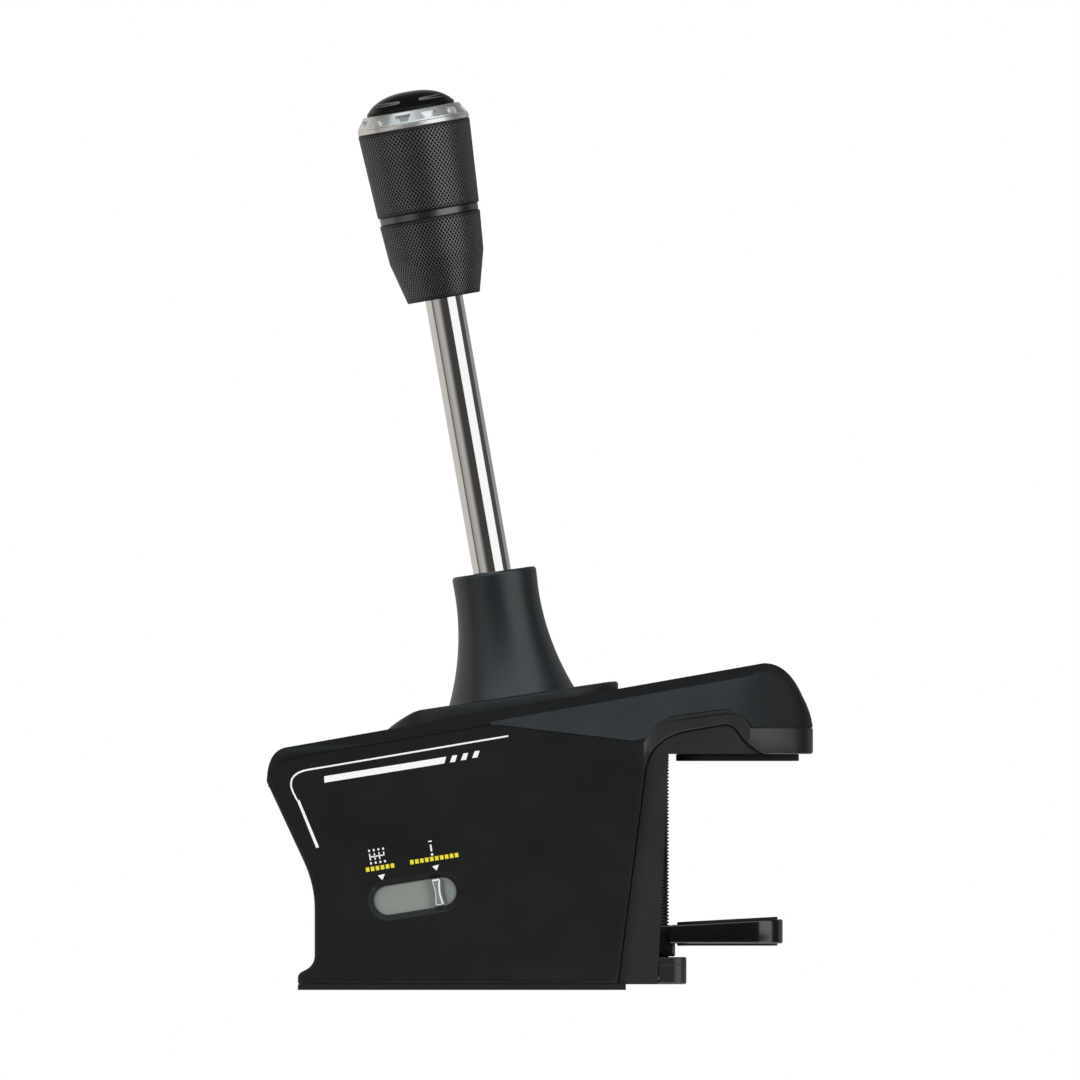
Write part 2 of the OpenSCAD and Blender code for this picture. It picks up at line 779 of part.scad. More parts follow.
module lower_jaw() {
    top = jaw_low + jaw_hub_h;
    color("#1c1d1f") difference() {
        union() {
            translate([slot_front + fit_gap, fit_gap - slot_w / 2, jaw_low])
                cube([jaw_hub_rear - slot_front - fit_gap, slot_w - 2 * fit_gap, jaw_hub_h]);
            intersection() {
                along_y(jaw_w) polygon([
                    [jaw_arm_x, jaw_arm_low], [jaw_reach, jaw_arm_low],
                    [jaw_reach, top + jaw_rise], [jaw_arm_x, top]
                ]);
                linear_extrude(far) round_rect([0, -jaw_w / 2], [jaw_reach, jaw_w / 2], jaw_corner_r);
            }
            for (y = [-1, 0, 1] * (jaw_w / 2 - jaw_corner_r))
                translate([jaw_pad_x, y - jaw_rib_w / 2, jaw_arm_low - jaw_rib_h])
                    cube([jaw_reach - jaw_pad_end - jaw_pad_x, jaw_rib_w, jaw_rib_h + 1]);
        }
        jaw_bed(fit_gap, far);
        translate([screw_x, 0, 0]) {
            cylinder(r = screw_r + 0.4, h = far);
            translate([0, 0, jaw_low + jaw_hub_h - nut_h]) cylinder(r = nut_r, h = far);
        }
    }
}

module jaw_nut() {
    color("#b08d4a") translate([screw_x, 0, jaw_low + jaw_hub_h - nut_h]) difference() {
        cylinder(r = nut_r, h = nut_h);
        translate([0, 0, -1]) cylinder(r = screw_r + run_gap, h = far);
    }
}

module lower_jaw_pad() {
    color("#141415") jaw_bed(0, pad_t);
}

// Space of the lower pad, which follows the slope of the jaw
module jaw_bed(gap, height) {
    slope = jaw_rise / (jaw_reach - jaw_arm_x);
    start = jaw_pad_x - gap;
    end = jaw_reach - jaw_pad_end + gap;
    side = jaw_w / 2 - jaw_pad_end + gap;
    low = jaw_low + jaw_hub_h + pad_proud - pad_t;
    start_z = low + (start - jaw_arm_x) * slope;
    end_z = low + (end - jaw_arm_x) * slope;
    intersection() {
        along_y(jaw_w) polygon([[start, start_z], [end, end_z], [end, end_z + height], [start, start_z + height]]);
        linear_extrude(far) round_rect([start, -side], [end, side], jaw_corner_r - jaw_pad_end);
    }
}

// Gimbal

module gimbal_bracket() {
    rear = pivot_x + upright_at;
    front = pivot_x - upright_at - upright_t;
    rise = upright_at * tan(lever_tilt);
    color("#55575b") difference() {
        union() {
            translate([front - bracket_foot_front, -bracket_foot_w / 2, base_top])
                cube([rear + upright_t - front + bracket_foot_front, bracket_foot_w, frame_foot_t]);
            translate([rear, -upright_w / 2, base_top])
                cube([upright_t, upright_w, pivot_h + rise + upright_head - base_top]);
            translate([front, -upright_w / 2, base_top])
                cube([upright_t, upright_w, pivot_h - rise + upright_head - base_top]);
            in_lever() for (y = [-1, 1] * (upright_w / 2 - board_post_r))
                translate([-pin_front - magnet_t - 1, y, 0]) rotate([0, 90, 0])
                    cylinder(r = board_post_r, h = pin_front + magnet_t - upright_at - 2);
        }
        in_lever() rotate([0, 90, 0]) translate([0, 0, -far / 2]) cylinder(r = bush_r, h = far);
        bracket_bolt_places() cylinder(r = bolt_hole_r, h = base_top + frame_foot_t + 1);
    }
}

module select_bushes() {
    mid = (upright_at + upright_t / 2) / cos(lever_tilt);
    color("#b9a98a") in_lever() for (x = [-1, 1] * mid) translate([x, 0, 0]) rotate([0, 90, 0]) difference() {
        cylinder(r = bush_r, h = upright_t, center = true);
        cylinder(r = pin_r + run_gap, h = upright_t + 2, center = true);
    }
}

module gate_plate() {
    color("#c9cacc") intersection() {
        in_lever() difference() {
            translate([-far / 2, -gate_w / 2, gate_z]) cube([far, gate_w, gate_t]);
            translate([0, 0, gate_z - 1]) linear_extrude(gate_t + 2)
                centred_rect([gate_window_x, gate_window_y], 4);
        }
        translate([pivot_x - upright_at, -far / 2, 0]) cube([2 * upright_at, far, far]);
    }
}

module select_sensor_board() {
    color("#1f4d33") in_lever() translate([-pin_front - magnet_t - 1 - sensor_t, -upright_w / 2, -sensor_h / 2])
        cube([sensor_t, upright_w, sensor_h]);
}

module select_cradle() {
    color("#3d3f43") in_lever() difference() {
        union() {
            cube([cradle_x, cradle_y, cradle_z], center = true);
            for (x = [-1, 1] * cradle_x / 3) translate([x, -cradle_y / 2, 0]) rotate([90, 0, 0])
                cylinder(r = board_post_r, h = 4);
        }
        cube([cradle_window_x, cradle_window_y, cradle_z + 2], center = true);
        rotate([90, 0, 0]) cylinder(r = bush_r, h = far, center = true);
        rotate([0, 90, 0]) cylinder(r = pin_r, h = far, center = true);
    }
}

module select_pins() {
    inner = cradle_window_x / 2 + 0.5;
    rear_end = (upright_at + upright_t) / cos(lever_tilt);
    color("#a6a8ac") in_lever() {
        translate([inner, 0, 0]) rotate([0, 90, 0]) cylinder(r = pin_r, h = rear_end - inner);
        translate([-pin_front, 0, 0]) rotate([0, 90, 0]) cylinder(r = pin_r, h = pin_front - inner);
    }
}

module select_magnet() {
    color("#8e9094") in_lever() translate([-pin_front - magnet_t, 0, 0]) rotate([0, 90, 0])
        cylinder(r = magnet_r, h = magnet_t);
}

// Points of one ring of a wire that winds round the z axis
function wire_ring(turn, r, pitch, sides = 6) =
    [for (i = [0:sides - 1]) let (a = 360 * i / sides, out = r + spring_wire_r * cos(a))
        [out * cos(360 * turn), out * sin(360 * turn), pitch * turn + spring_wire_r * sin(a)]];

// One unbroken coil of wire round the z axis
module coil(r, pitch, turns, sides = 6) {
    steps = 8 * turns;
    points = [for (i = [0:steps]) each wire_ring(i / 8, r, pitch, sides)];
    walls = [for (i = [0:steps - 1], k = [0:sides - 1])
        let (a = i * sides + k, b = i * sides + (k + 1) % sides)
        each [[a, a + sides, b], [b, a + sides, b + sides]]];
    first = [for (k = [1:sides - 2]) [0, k, k + 1]];
    end = steps * sides;
    last = [for (k = [1:sides - 2]) [end, end + k + 1, end + k]];
    polyhedron(points, concat(walls, first, last));
}

module select_spring() {
    room = pin_front - (upright_at + upright_t) / cos(lever_tilt) - 2 * spring_wire_r - 2;
    turns = 3;
    color("#8f9195") in_lever() translate([-pin_front + spring_wire_r, 0, 0]) rotate([0, 90, 0])
        coil(pin_r + spring_wire_r + spring_gap, room / turns, turns);
}

module shift_bushes() {
    mid = (cradle_y + cradle_window_y) / 4;
    thick = (cradle_y - cradle_window_y) / 2;
    color("#b9a98a") in_lever() for (y = [-1, 1] * mid) translate([0, y, 0]) rotate([90, 0, 0]) difference() {
        cylinder(r = bush_r, h = thick, center = true);
        cylinder(r = pin_r + run_gap, h = thick + 2, center = true);
    }
}

module shift_sensor_board() {
    color("#1f4d33") in_lever() translate([-cradle_x / 2, -cradle_y / 2 - 4 - sensor_t, -sensor_h / 2])
        cube([cradle_x, sensor_t, sensor_h]);
}

module shift_springs() {
    start = hub_y / 2 + spring_gap + spring_wire_r;
    length = cradle_window_y / 2 - spring_gap - spring_wire_r - start;
    turns = 3;
    color("#8f9195") in_lever() both_sides() translate([0, start, 0]) rotate([-90, 0, 0])
        coil(spring_r, length / turns, turns);
}

// Lever

module lever_hub() {
    collar_top = sqrt(pow(dome_r - dome_t, 2) - hub_collar_r * hub_collar_r) - spring_gap;
    color("#8a8c90") in_lever() difference() {
        union() {
            translate([-hub_x / 2, -hub_y / 2, hub_low]) cube([hub_x, hub_y, shaft_foot + 4 - hub_low]);
            cylinder(r = hub_collar_r, h = collar_top);
        }
        rotate([90, 0, 0]) cylinder(r = pin_r, h = far, center = true);
        translate([0, 0, shaft_foot]) cylinder(r = shaft_r, h = far);
        translate([0, 0, hub_low - 1]) cylinder(r = pin_r, h = -hub_low - pin_r - 1);
    }
}

module shift_axle() {
    color("#a6a8ac") in_lever() rotate([90, 0, 0]) cylinder(r = pin_r, h = cradle_y, center = true);
}

module shift_magnet() {
    color("#8e9094") in_lever() translate([0, -cradle_y / 2, 0]) rotate([90, 0, 0])
        cylinder(r = magnet_r, h = magnet_t);
}

module gate_pin() {
    color("#b4b6ba") in_lever() {
        translate([0, 0, -gate_pin_len]) cylinder(r = pin_r, h = gate_pin_len + hub_low + 5);
        translate([0, 0, -gate_pin_len]) sphere(gate_tip_r);
    }
}

module lever_shaft() {
    color("#c3c2c0") in_lever() translate([0, 0, shaft_foot]) cylinder(r = shaft_r, h = shaft_top - shaft_foot);
}

module in_shroud() {
    translate([shroud_x, 0, shroud_top]) rotate([0, -shroud_tilt, 0]) children();
}

// Trumpet profile from the collar down to the foot
module shroud_outline(inset) {
    low = -shroud_h;
    neck = -shroud_neck;
    polygon(concat(
        [[0, -inset], [shroud_top_r - shroud_rim - inset, -inset]],
        curve([shroud_top_r - shroud_rim - inset, -inset], [shroud_top_r - inset, -inset],
            [shroud_top_r - inset, -shroud_rim - inset], 4),
        curve([shroud_top_r - 0.2 - inset, neck], [shroud_top_r - 0.2 - inset, -0.6 * shroud_h],
            [shroud_low_r - inset, low], 10),
        [[0, low]]
    ));
}

module lever_shroud() {
    color("#16191d") difference() {
        union() {
            in_shroud() rotate_extrude() shroud_outline(0);
            in_lever() translate([0, 0, skirt_low]) cylinder(r = skirt_r, h = skirt_high - skirt_low);
        }
        in_shroud() translate([0, 0, -0.001]) rotate_extrude() shroud_outline(shroud_t);
        in_lever() translate([0, 0, skirt_low - 1]) cylinder(r = skirt_r - skirt_t, h = skirt_high + 1 - skirt_low);
        in_lever() cylinder(r = shaft_r + fit_gap, h = far);
    }
}

module dust_dome() {
    color("#121314") in_lever() rotate_extrude() intersection() {
        difference() {
            circle(dome_r);
            circle(dome_r - dome_t);
        }
        polygon([[shaft_r + fit_gap, 0], [shaft_r + fit_gap, far], [far, far], far * [sin(dome_edge), cos(dome_edge)],
            [0.1, 0]]);
    }
}

// Knob

function sleeve_r(z) =
    z < kink_at ? sleeve_low_r + (sleeve_kink_r - sleeve_low_r) * z / kink_at
    : z < band_low ? sleeve_kink_r + (sleeve_band_r - sleeve_kink_r) * (z - kink_at) / (band_low - kink_at)
    : sleeve_band_r + (sleeve_top_r - sleeve_band_r) * (z - band_low) / (sleeve_len - band_low);

module at_knob() {
    in_lever() translate([0, 0, knob_low]) children();
}

module knob_sleeve() {
    levels = [0, kink_at, band_low, band_high, sleeve_len];
    color("#1d1e20") at_knob() difference() {
        rotate_extrude() polygon(concat([[0, 0]], [for (z = levels) [sleeve_r(z), z]], [[0, sleeve_len]]));
        translate([0, 0, -0.001]) rotate_extrude()
            polygon(concat([[0, -1]], [for (z = [0, kink_at, band_low, sleeve_len + 1])
                [sleeve_r(z) - sleeve_t, z]], [[0, sleeve_len + 1]]));
        translate([0, 0, band_low]) rotate_extrude()
            translate([sleeve_band_r - band_depth, 0]) square([5, band_high - band_low]);
    }
}

module knob_core() {
    color("#2a2b2d") at_knob() difference() {
        rotate_extrude() polygon(concat([[0, 0.4]], [for (z = [0.4, kink_at, band_low, sleeve_len])
            [sleeve_r(z) - sleeve_t - 0.1, z]], [[0, sleeve_len]]));
        translate([0, 0, -1]) cylinder(r = shaft_r, h = shaft_top - knob_low + 1);
    }
}

module knob_ring() {
    outer = sleeve_top_r - 0.1;
    color("#d6d7d9") at_knob() translate([0, 0, sleeve_len]) difference() {
        union() {
            cylinder(r = outer, h = ring_lip);
            translate([0, 0, ring_lip]) cylinder(r1 = outer, r2 = ring_top_r, h = ring_h - ring_lip);
        }
        translate([0, 0, -1]) cylinder(r = cap_r + fit_gap, h = far);
        // Pockets in the sloping face, wider at the top
        for (i = [0:pocket_count - 1]) rotate([0, 0, pocket_turn - 90 + 360 / pocket_count * i])
            translate([pocket_floor_r, 0, 0]) rotate([90, 0, 90]) linear_extrude(outer) polygon([
                [-pocket_low_w / 2, pocket_low], [pocket_low_w / 2, pocket_low],
                [pocket_high_w / 2, pocket_high], [-pocket_high_w / 2, pocket_high]
            ]);
    }
}

module knob_cap() {
    rise = cap_seat + cap_side;
    ball_r = (cap_r * cap_r + cap_dome_h * cap_dome_h) / (2 * cap_dome_h);
    color("#0e0e0f") at_knob() translate([0, 0, sleeve_len]) {
        cylinder(r = cap_r, h = rise);
        translate([0, 0, rise]) intersection() {
            translate([0, 0, cap_dome_h - ball_r]) sphere(ball_r);
            cylinder(r = cap_r, h = cap_dome_h);
        }
    }
}

// Mode switch and boards

module mode_slider() {
    left = -window_len / 2 - slider_over;
    right = window_len / 2 + slider_over + mode_travel;
    color("#8b8e8d") at_window() translate([left, -slider_h / 2, -wall - slider_t - fit_gap / 2])
        cube([right - left, slider_h, slider_t]);
}

module mode_tab() {
    half = window_h / 2 - 0.3;
    color("#9b9e9d") at_window() translate([tab_at, 0, -wall - fit_gap / 2]) linear_extrude(wall + tab_proud)
        polygon([
            [-tab_w / 2, -half], [tab_w / 2, -half], [tab_waist / 2, -half / 3], [tab_waist / 2, half / 3],
            [tab_w / 2, half], [-tab_w / 2, half], [-tab_waist / 2, half / 3], [-tab_waist / 2, -half / 3]
        ]);
}

module mode_board() {
    color("#1f4d33") at_window()
        translate([-mode_post_x - 3, -mode_post_z - 3, -wall - mode_post_y - board_t])
            cube([2 * mode_post_x + 6, 2 * mode_post_z + 6, board_t]);
}

module main_board() {
    color("#1f4d33") difference() {
        translate([board_x[0], board_y[0], board_z])
            cube([board_x[1] - board_x[0], board_y[1] - board_y[0], board_t]);
        board_places() cylinder(r = bolt_hole_r, h = far);
    }
}

module usb_socket() {
    color("#b7b9bc") translate([(board_x[0] + board_x[1] - usb_w) / 2,
            body_w / 2 - 0.5 - usb_len, board_z + board_t]) difference() {
        cube([usb_w, usb_len, usb_h]);
        translate([0.5, 2, 0.5]) cube([usb_w - 1, usb_len, usb_h - 1]);
    }
}

// Fasteners

module base_screws() {
    color("#6d6f73") base_bolt_places() translate([0, 0, base_z]) bolt(base_bolt_len);
}

module bracket_screws() {
    color("#6d6f73") bracket_bolt_places()
        translate([0, 0, base_top + frame_foot_t + bolt_head_h]) mirror([0, 0, 1]) bolt(foot_bolt_len);
}

module frame_screws() {
    color("#6d6f73") frame_bolt_places()
        translate([0, 0, base_top + frame_foot_t + bolt_head_h]) mirror([0, 0, 1]) bolt(foot_bolt_len);
}

module cover_screws() {
    color("#6d6f73") for (x = cover_bolt_x, y = [-1, 1] * cover_bolt_y)
        translate([x, y, hood_under]) bolt(cover_bolt_len);
}

module bearing_screws() {
    color("#6d6f73") for (y = [-1, 1] * bearing_bolt_y)
        translate([bearing_reach, y, bearing_bolt_z]) rotate([0, -90, 0]) bolt(bearing_bolt_len);
}

module board_screws() {
    color("#6d6f73") board_places() translate([0, 0, board_z + board_t + bolt_head_h]) mirror([0, 0, 1]) bolt(board_bolt_len);
}

rubber_sole();
base_plate();
main_housing();
top_cover();
bezel_plate();
clamp_frame();
upper_jaw_pad();
screw_bearing();
bearing_cap();
gimbal_bracket();
select_bushes();
gate_plate();
select_sensor_board();
main_board();
usb_socket();
mode_board();
mount_inserts();
base_screws();
bracket_screws();
frame_screws();
cover_screws();
bearing_screws();
board_screws();
mode_slider();
mode_tab();
select_cradle();
select_pins();
select_magnet();
select_spring();
shift_bushes();
shift_sensor_board();
shift_springs();
lever_hub();
shift_axle();
shift_magnet();
gate_pin();
lever_shaft();
lever_shroud();
dust_dome();
knob_core();
knob_sleeve();
knob_ring();
knob_cap();
clamp_screw();
thrust_ring();
lower_jaw();
jaw_nut();
lower_jaw_pad();
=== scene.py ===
"""Looks of a sim racing gear shifter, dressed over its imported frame.

Lengths are written in millimetres and turned into metres when a mesh is made. X points to the desk,
Z points up, and the side with the mode switch faces -Y.
"""
from __future__ import annotations

import json
import logging
from dataclasses import dataclass
from enum import Enum
from math import cos, dist, pi, radians, sin, sqrt, tan
from typing import Callable, Optional, Sequence, Union

import bmesh
import bpy
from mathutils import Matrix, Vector


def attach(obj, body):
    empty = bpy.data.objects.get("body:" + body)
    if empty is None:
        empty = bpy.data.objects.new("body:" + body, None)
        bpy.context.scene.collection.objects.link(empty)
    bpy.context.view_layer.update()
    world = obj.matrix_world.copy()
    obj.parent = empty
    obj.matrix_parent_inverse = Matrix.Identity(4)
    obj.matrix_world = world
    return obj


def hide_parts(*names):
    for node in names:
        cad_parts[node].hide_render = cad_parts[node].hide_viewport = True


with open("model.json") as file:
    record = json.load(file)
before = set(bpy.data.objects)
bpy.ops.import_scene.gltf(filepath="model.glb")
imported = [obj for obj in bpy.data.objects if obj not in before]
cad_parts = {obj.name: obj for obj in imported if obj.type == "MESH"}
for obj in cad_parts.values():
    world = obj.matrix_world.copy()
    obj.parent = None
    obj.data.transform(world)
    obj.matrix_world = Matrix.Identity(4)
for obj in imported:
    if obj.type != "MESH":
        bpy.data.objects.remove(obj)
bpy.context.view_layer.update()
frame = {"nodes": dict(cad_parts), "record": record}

LOG = logging.getLogger("shifter")
MM = 0.001
# Degrees over which an edge is shaded sharp, points round a turned form, and a distance that counts as none.
SHARP = 32.0
ROUND = 96
TINY = 1e-6
Flat = tuple[float, float]
Point = tuple[float, float, float]
Line = tuple[Flat, ...]
Colour = tuple[float, float, float]
Height = Callable[[float], float]
Lift = Callable[[Flat, float], Point]
Piece = bpy.types.Object
Face = bpy.types.MeshPolygon


def lerp(a: Sequence[float], b: Sequence[float], t: float) -> tuple[float, ...]:
    """Point at share t of the way from a to b."""
    return tuple(p + (q - p) * t for p, q in zip(a, b))


def spin(p: Flat, degrees: float) -> Flat:
    """Point turned about the origin, anticlockwise."""
    c, s = cos(radians(degrees)), sin(radians(degrees))
    return (p[0] * c - p[1] * s, p[0] * s + p[1] * c)


def smooth(t: float) -> float:
    """Eased share, flat at 0 and at 1."""
    t = min(1.0, max(0.0, t))
    return t * t * (3.0 - 2.0 * t)


def curve(a: Flat, b: Flat, c: Flat, steps: int) -> list[Flat]:
    """Points of a quadratic curve from a to c that leans towards b, both ends included."""
    shares = [i / steps for i in range(steps + 1)]
    return [lerp(lerp(a, b, t), lerp(b, c, t), t) for t in shares]


def run(a: Flat, b: Flat, steps: int) -> list[Flat]:
    """Points of a straight line from a to b, both ends included."""
    return [lerp(a, b, i / steps) for i in range(steps + 1)]


def chain(*stretches: Sequence[Flat]) -> list[Flat]:
    """Joins stretches end to end, without the points that they share.

    Args:
        stretches: Points of each stretch.

    Returns:
        Points of the whole line.
    """
    points: list[Flat] = []
    for stretch in stretches:
        for point in stretch:
            if not points or dist(points[-1], point) > TINY:
                points.append(tuple(point))
    return points


def lookup(table: Sequence[Flat], at: float) -> float:
    """Value of a broken line of (place, value) points at one place.

    Args:
        table: Points in rising order of place.
        at: Place to look up. Past either end, the end's value holds.

    Returns:
        The value there.
    """
    if at <= table[0][0]:
        return table[0][1]
    for (a, low), (b, high) in zip(table, table[1:]):
        if at <= b:
            return low + (high - low) * (at - a) / (b - a)
    return table[-1][1]


def spread(points: Sequence[Flat], count: int) -> list[Flat]:
    """Places count + 1 points evenly along a broken line.

    Args:
        points: Corners of the line.
        count: Number of equal stretches.

    Returns:
        The evenly spaced points, both ends included.
    """
    travelled = [0.0]
    for a, b in zip(points, points[1:]):
        travelled.append(travelled[-1] + dist(a, b))
    shares = [travelled[-1] * i / count for i in range(count + 1)]
    tables = [[(s, p[k]) for s, p in zip(travelled, points)] for k in range(2)]
    return [(lookup(tables[0], at), lookup(tables[1], at)) for at in shares]


def across(path: Sequence[Flat]) -> list[Flat]:
    """Finds which way lies to the left of a path.

    Args:
        path: Points of the path.

    Returns:
        A step of length 1 for each point.
    """
    steps = []
    for i in range(len(path)):
        before, after = path[max(i - 1, 0)], path[min(i + 1, len(path) - 1)]
        length = dist(before, after)
        steps.append(((before[1] - after[1]) / length, (after[0] - before[0]) / length))
    return steps


def ribbon(path: Sequence[Flat], widths: Flat, lift: Lift, low: float, high: float) -> list[list[Point]]:
    """Rows of a thin raised line along a path.

    Args:
        path: Points of its middle.
        widths: Its width at the start and at the end.
        lift: Gives the place of a point at a height.
        low: Height of its foot.
        high: Height of its face.

    Returns:
        One closed row of four corners at each point.
    """
    rows = []
    for i, ((x, y), step) in enumerate(zip(path, across(path))):
        half = (widths[0] + (widths[1] - widths[0]) * i / (len(path) - 1)) / 2
        left = (x + step[0] * half, y + step[1] * half)
        right = (x - step[0] * half, y - step[1] * half)
        rows.append([lift(left, high), lift(right, high), lift(right, low), lift(left, low)])
    return rows


def circle(radius: float, steps: int) -> list[Flat]:
    """Outline of a regular polygon about the origin, anticlockwise."""
    turns = [2 * pi * i / steps for i in range(steps)]
    return [(radius * cos(a), radius * sin(a)) for a in turns]


def rounded(width: float, height: float, radius: float, steps: int = 8) -> list[Flat]:
    """Outline of a rounded rectangle about the origin, anticlockwise.

    Args:
        width: Size along the first axis.
        height: Size along the second axis.
        radius: Corner radius.
        steps: Chords in each corner.

    Returns:
        The outline's points, the first not repeated.
    """
    outline = []
    for quarter, (sx, sy) in enumerate(((1, 1), (-1, 1), (-1, -1), (1, -1))):
        for i in range(steps + 1):
            turn = radians(90.0 * (quarter + i / steps))
            x = sx * (width / 2 - radius) + radius * cos(turn)
            y = sy * (height / 2 - radius) + radius * sin(turn)
            outline.append((x, y))
    return outline


class Skin:
    """Vertices and faces in millimetres that become one mesh object."""

    def __init__(self) -> None:
        """Starts an empty skin."""
        self.points: list[Point] = []
        self.faces: list[tuple[int, ...]] = []

    def rows(self, rows: Sequence[Sequence[Point]], closed: bool = False, caps: bool = False) -> Skin:
        """Adds a grid of quads between rows of equal length.

        Args:
            rows: Rows of points.
            closed: Whether each row runs back to its start.
            caps: Whether the first and the last row are filled with one face each.

        Returns:
            The skin itself.
        """
        start, wide = len(self.points), len(rows[0])
        for row in rows:
            self.points.extend(tuple(p) for p in row)
        for r in range(len(rows) - 1):
            for c in range(wide if closed else wide - 1):
                d = (c + 1) % wide
                low, high = start + r * wide, start + (r + 1) * wide
                self.faces.append((low + c, low + d, high + d, high + c))
        if caps:
            last = start + (len(rows) - 1) * wide
            self.faces.append(tuple(range(start + wide - 1, start - 1, -1)))
            self.faces.append(tuple(range(last, last + wide)))
        return self

    def solid(self, rows: Sequence[Sequence[Point]]) -> Skin:
        """Adds a closed form through rows that each run back to their start."""
        return self.rows(rows, closed=True, caps=True)

    def turned(self, profile: Sequence[Flat], steps: int, place: Callable[[Point], Point]) -> Skin:
        """Adds a profile turned about its second axis.

        Args:
            profile: Points of radius and height. Where the first and last agree, the ring is closed.
            steps: Number of faces round.
            place: Moves a point of the turned form to its place.

        Returns:
            The skin itself.
        """
        rings = [[place((x, y, h)) for x, y in circle(r, steps)] for r, h in profile]
        return self.rows(rings, closed=True)

    def block(self, outline: Sequence[Flat], lift: Lift, low: float, high: float) -> Skin:
        """Adds a straight prism; lift gives the place of a point of its section at a height."""
        return self.solid([[lift(p, h) for p in outline] for h in (low, high)])

    def build(self, name: str, sharp: float = SHARP, wall: float = 0.0) -> Piece:
        """Makes the object.

        Args:
            name: Name of the piece.
            sharp: Angle in degrees past which an edge is shaded sharp.
            wall: Thickness that an open skin grows inwards, or 0.

        Returns:
            The new object, linked to the scene.
        """
        mesh = bpy.data.meshes.new(name)
        mesh.from_pydata([tuple(v * MM for v in p) for p in self.points], [], self.faces)
        form = bmesh.new()
        form.from_mesh(mesh)
        bmesh.ops.remove_doubles(form, verts=form.verts, dist=TINY)
        bmesh.ops.recalc_face_normals(form, faces=form.faces)
        form.to_mesh(mesh)
        form.free()
        piece = bpy.data.objects.new(name, mesh)
        bpy.context.scene.collection.objects.link(piece)
        if wall:
            grow = piece.modifiers.new("wall", "SOLIDIFY")
            grow.thickness = wall * MM
            grow.offset = -1.0
            grow.use_even_offset = True
        settle(piece, sharp)
        return piece


def settle(piece: Piece, sharp: float) -> None:
    """Applies a piece's modifiers and sets its shading.

    Args:
        piece: Object to settle.
        sharp: Angle in degrees past which an edge is shaded sharp.
    """
    graph = bpy.context.evaluated_depsgraph_get()
    mesh = bpy.data.meshes.new_from_object(piece.evaluated_get(graph))
    mesh.name = piece.name
    piece.modifiers.clear()
    piece.data = mesh
    mesh.shade_smooth()
    mesh.set_sharp_from_angle(angle=radians(sharp))


def place(piece: Piece, body: str, slot: str, wear: Wear, *nodes: str) -> None:
    """Dresses a finished piece and ties it to the frame.

    Args:
        piece: Object to dress.
        body: Body that it rides on.
        slot: Record's material slot.
        wear: Finish that it wears.
        nodes: Nodes that it stands for.
    """
    piece.data.materials.clear()
    piece.data.materials.append(wear.value.material())
    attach(piece, body)
    if nodes:
        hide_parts(*nodes)
    LOG.info("%s rides on %s in %s", piece.name, body, wear.value.name)


def two_tone(piece: Piece, wear: Wear, chosen: Callable[[Face], bool]) -> None:
    """Gives some faces of a dressed piece a second finish.

    Args:
        piece: Object that is dressed already.
        wear: Second finish.
        chosen: Says whether a face wears it.
    """
    piece.data.materials.append(wear.value.material())
    for face in piece.data.polygons:
        face.material_index = int(chosen(face))


Value = Union[float, "Sock"]


class Sock:
    """An output of a shader node that takes part in Python expressions."""

    def __init__(self, graph: Graph, socket: bpy.types.NodeSocket) -> None:
        """Keeps the graph that the socket belongs to."""
        self.graph = graph
        self.socket = socket

    def _math(self, operation: str, first: Value, second: Value) -> Sock:
        """Adds one Math node."""
        return self.graph.node("ShaderNodeMath", {"operation": operation}, {0: first, 1: second})

    def __add__(self, other: Value) -> Sock:
        """Sum."""
        return self._math("ADD", self, other)

    def __radd__(self, other: Value) -> Sock:
        """Sum with a plain number first."""
        return self._math("ADD", other, self)

    def __sub__(self, other: Value) -> Sock:
        """Difference."""
        return self._math("SUBTRACT", self, other)

    def __rsub__(self, other: Value) -> Sock:
        """Difference with a plain number first."""
        return self._math("SUBTRACT", other, self)

    def __mul__(self, other: Value) -> Sock:
        """Product."""
        return self._math("MULTIPLY", self, other)

    def __rmul__(self, other: Value) -> Sock:
        """Product with a plain number first."""
        return self._math("MULTIPLY", other, self)


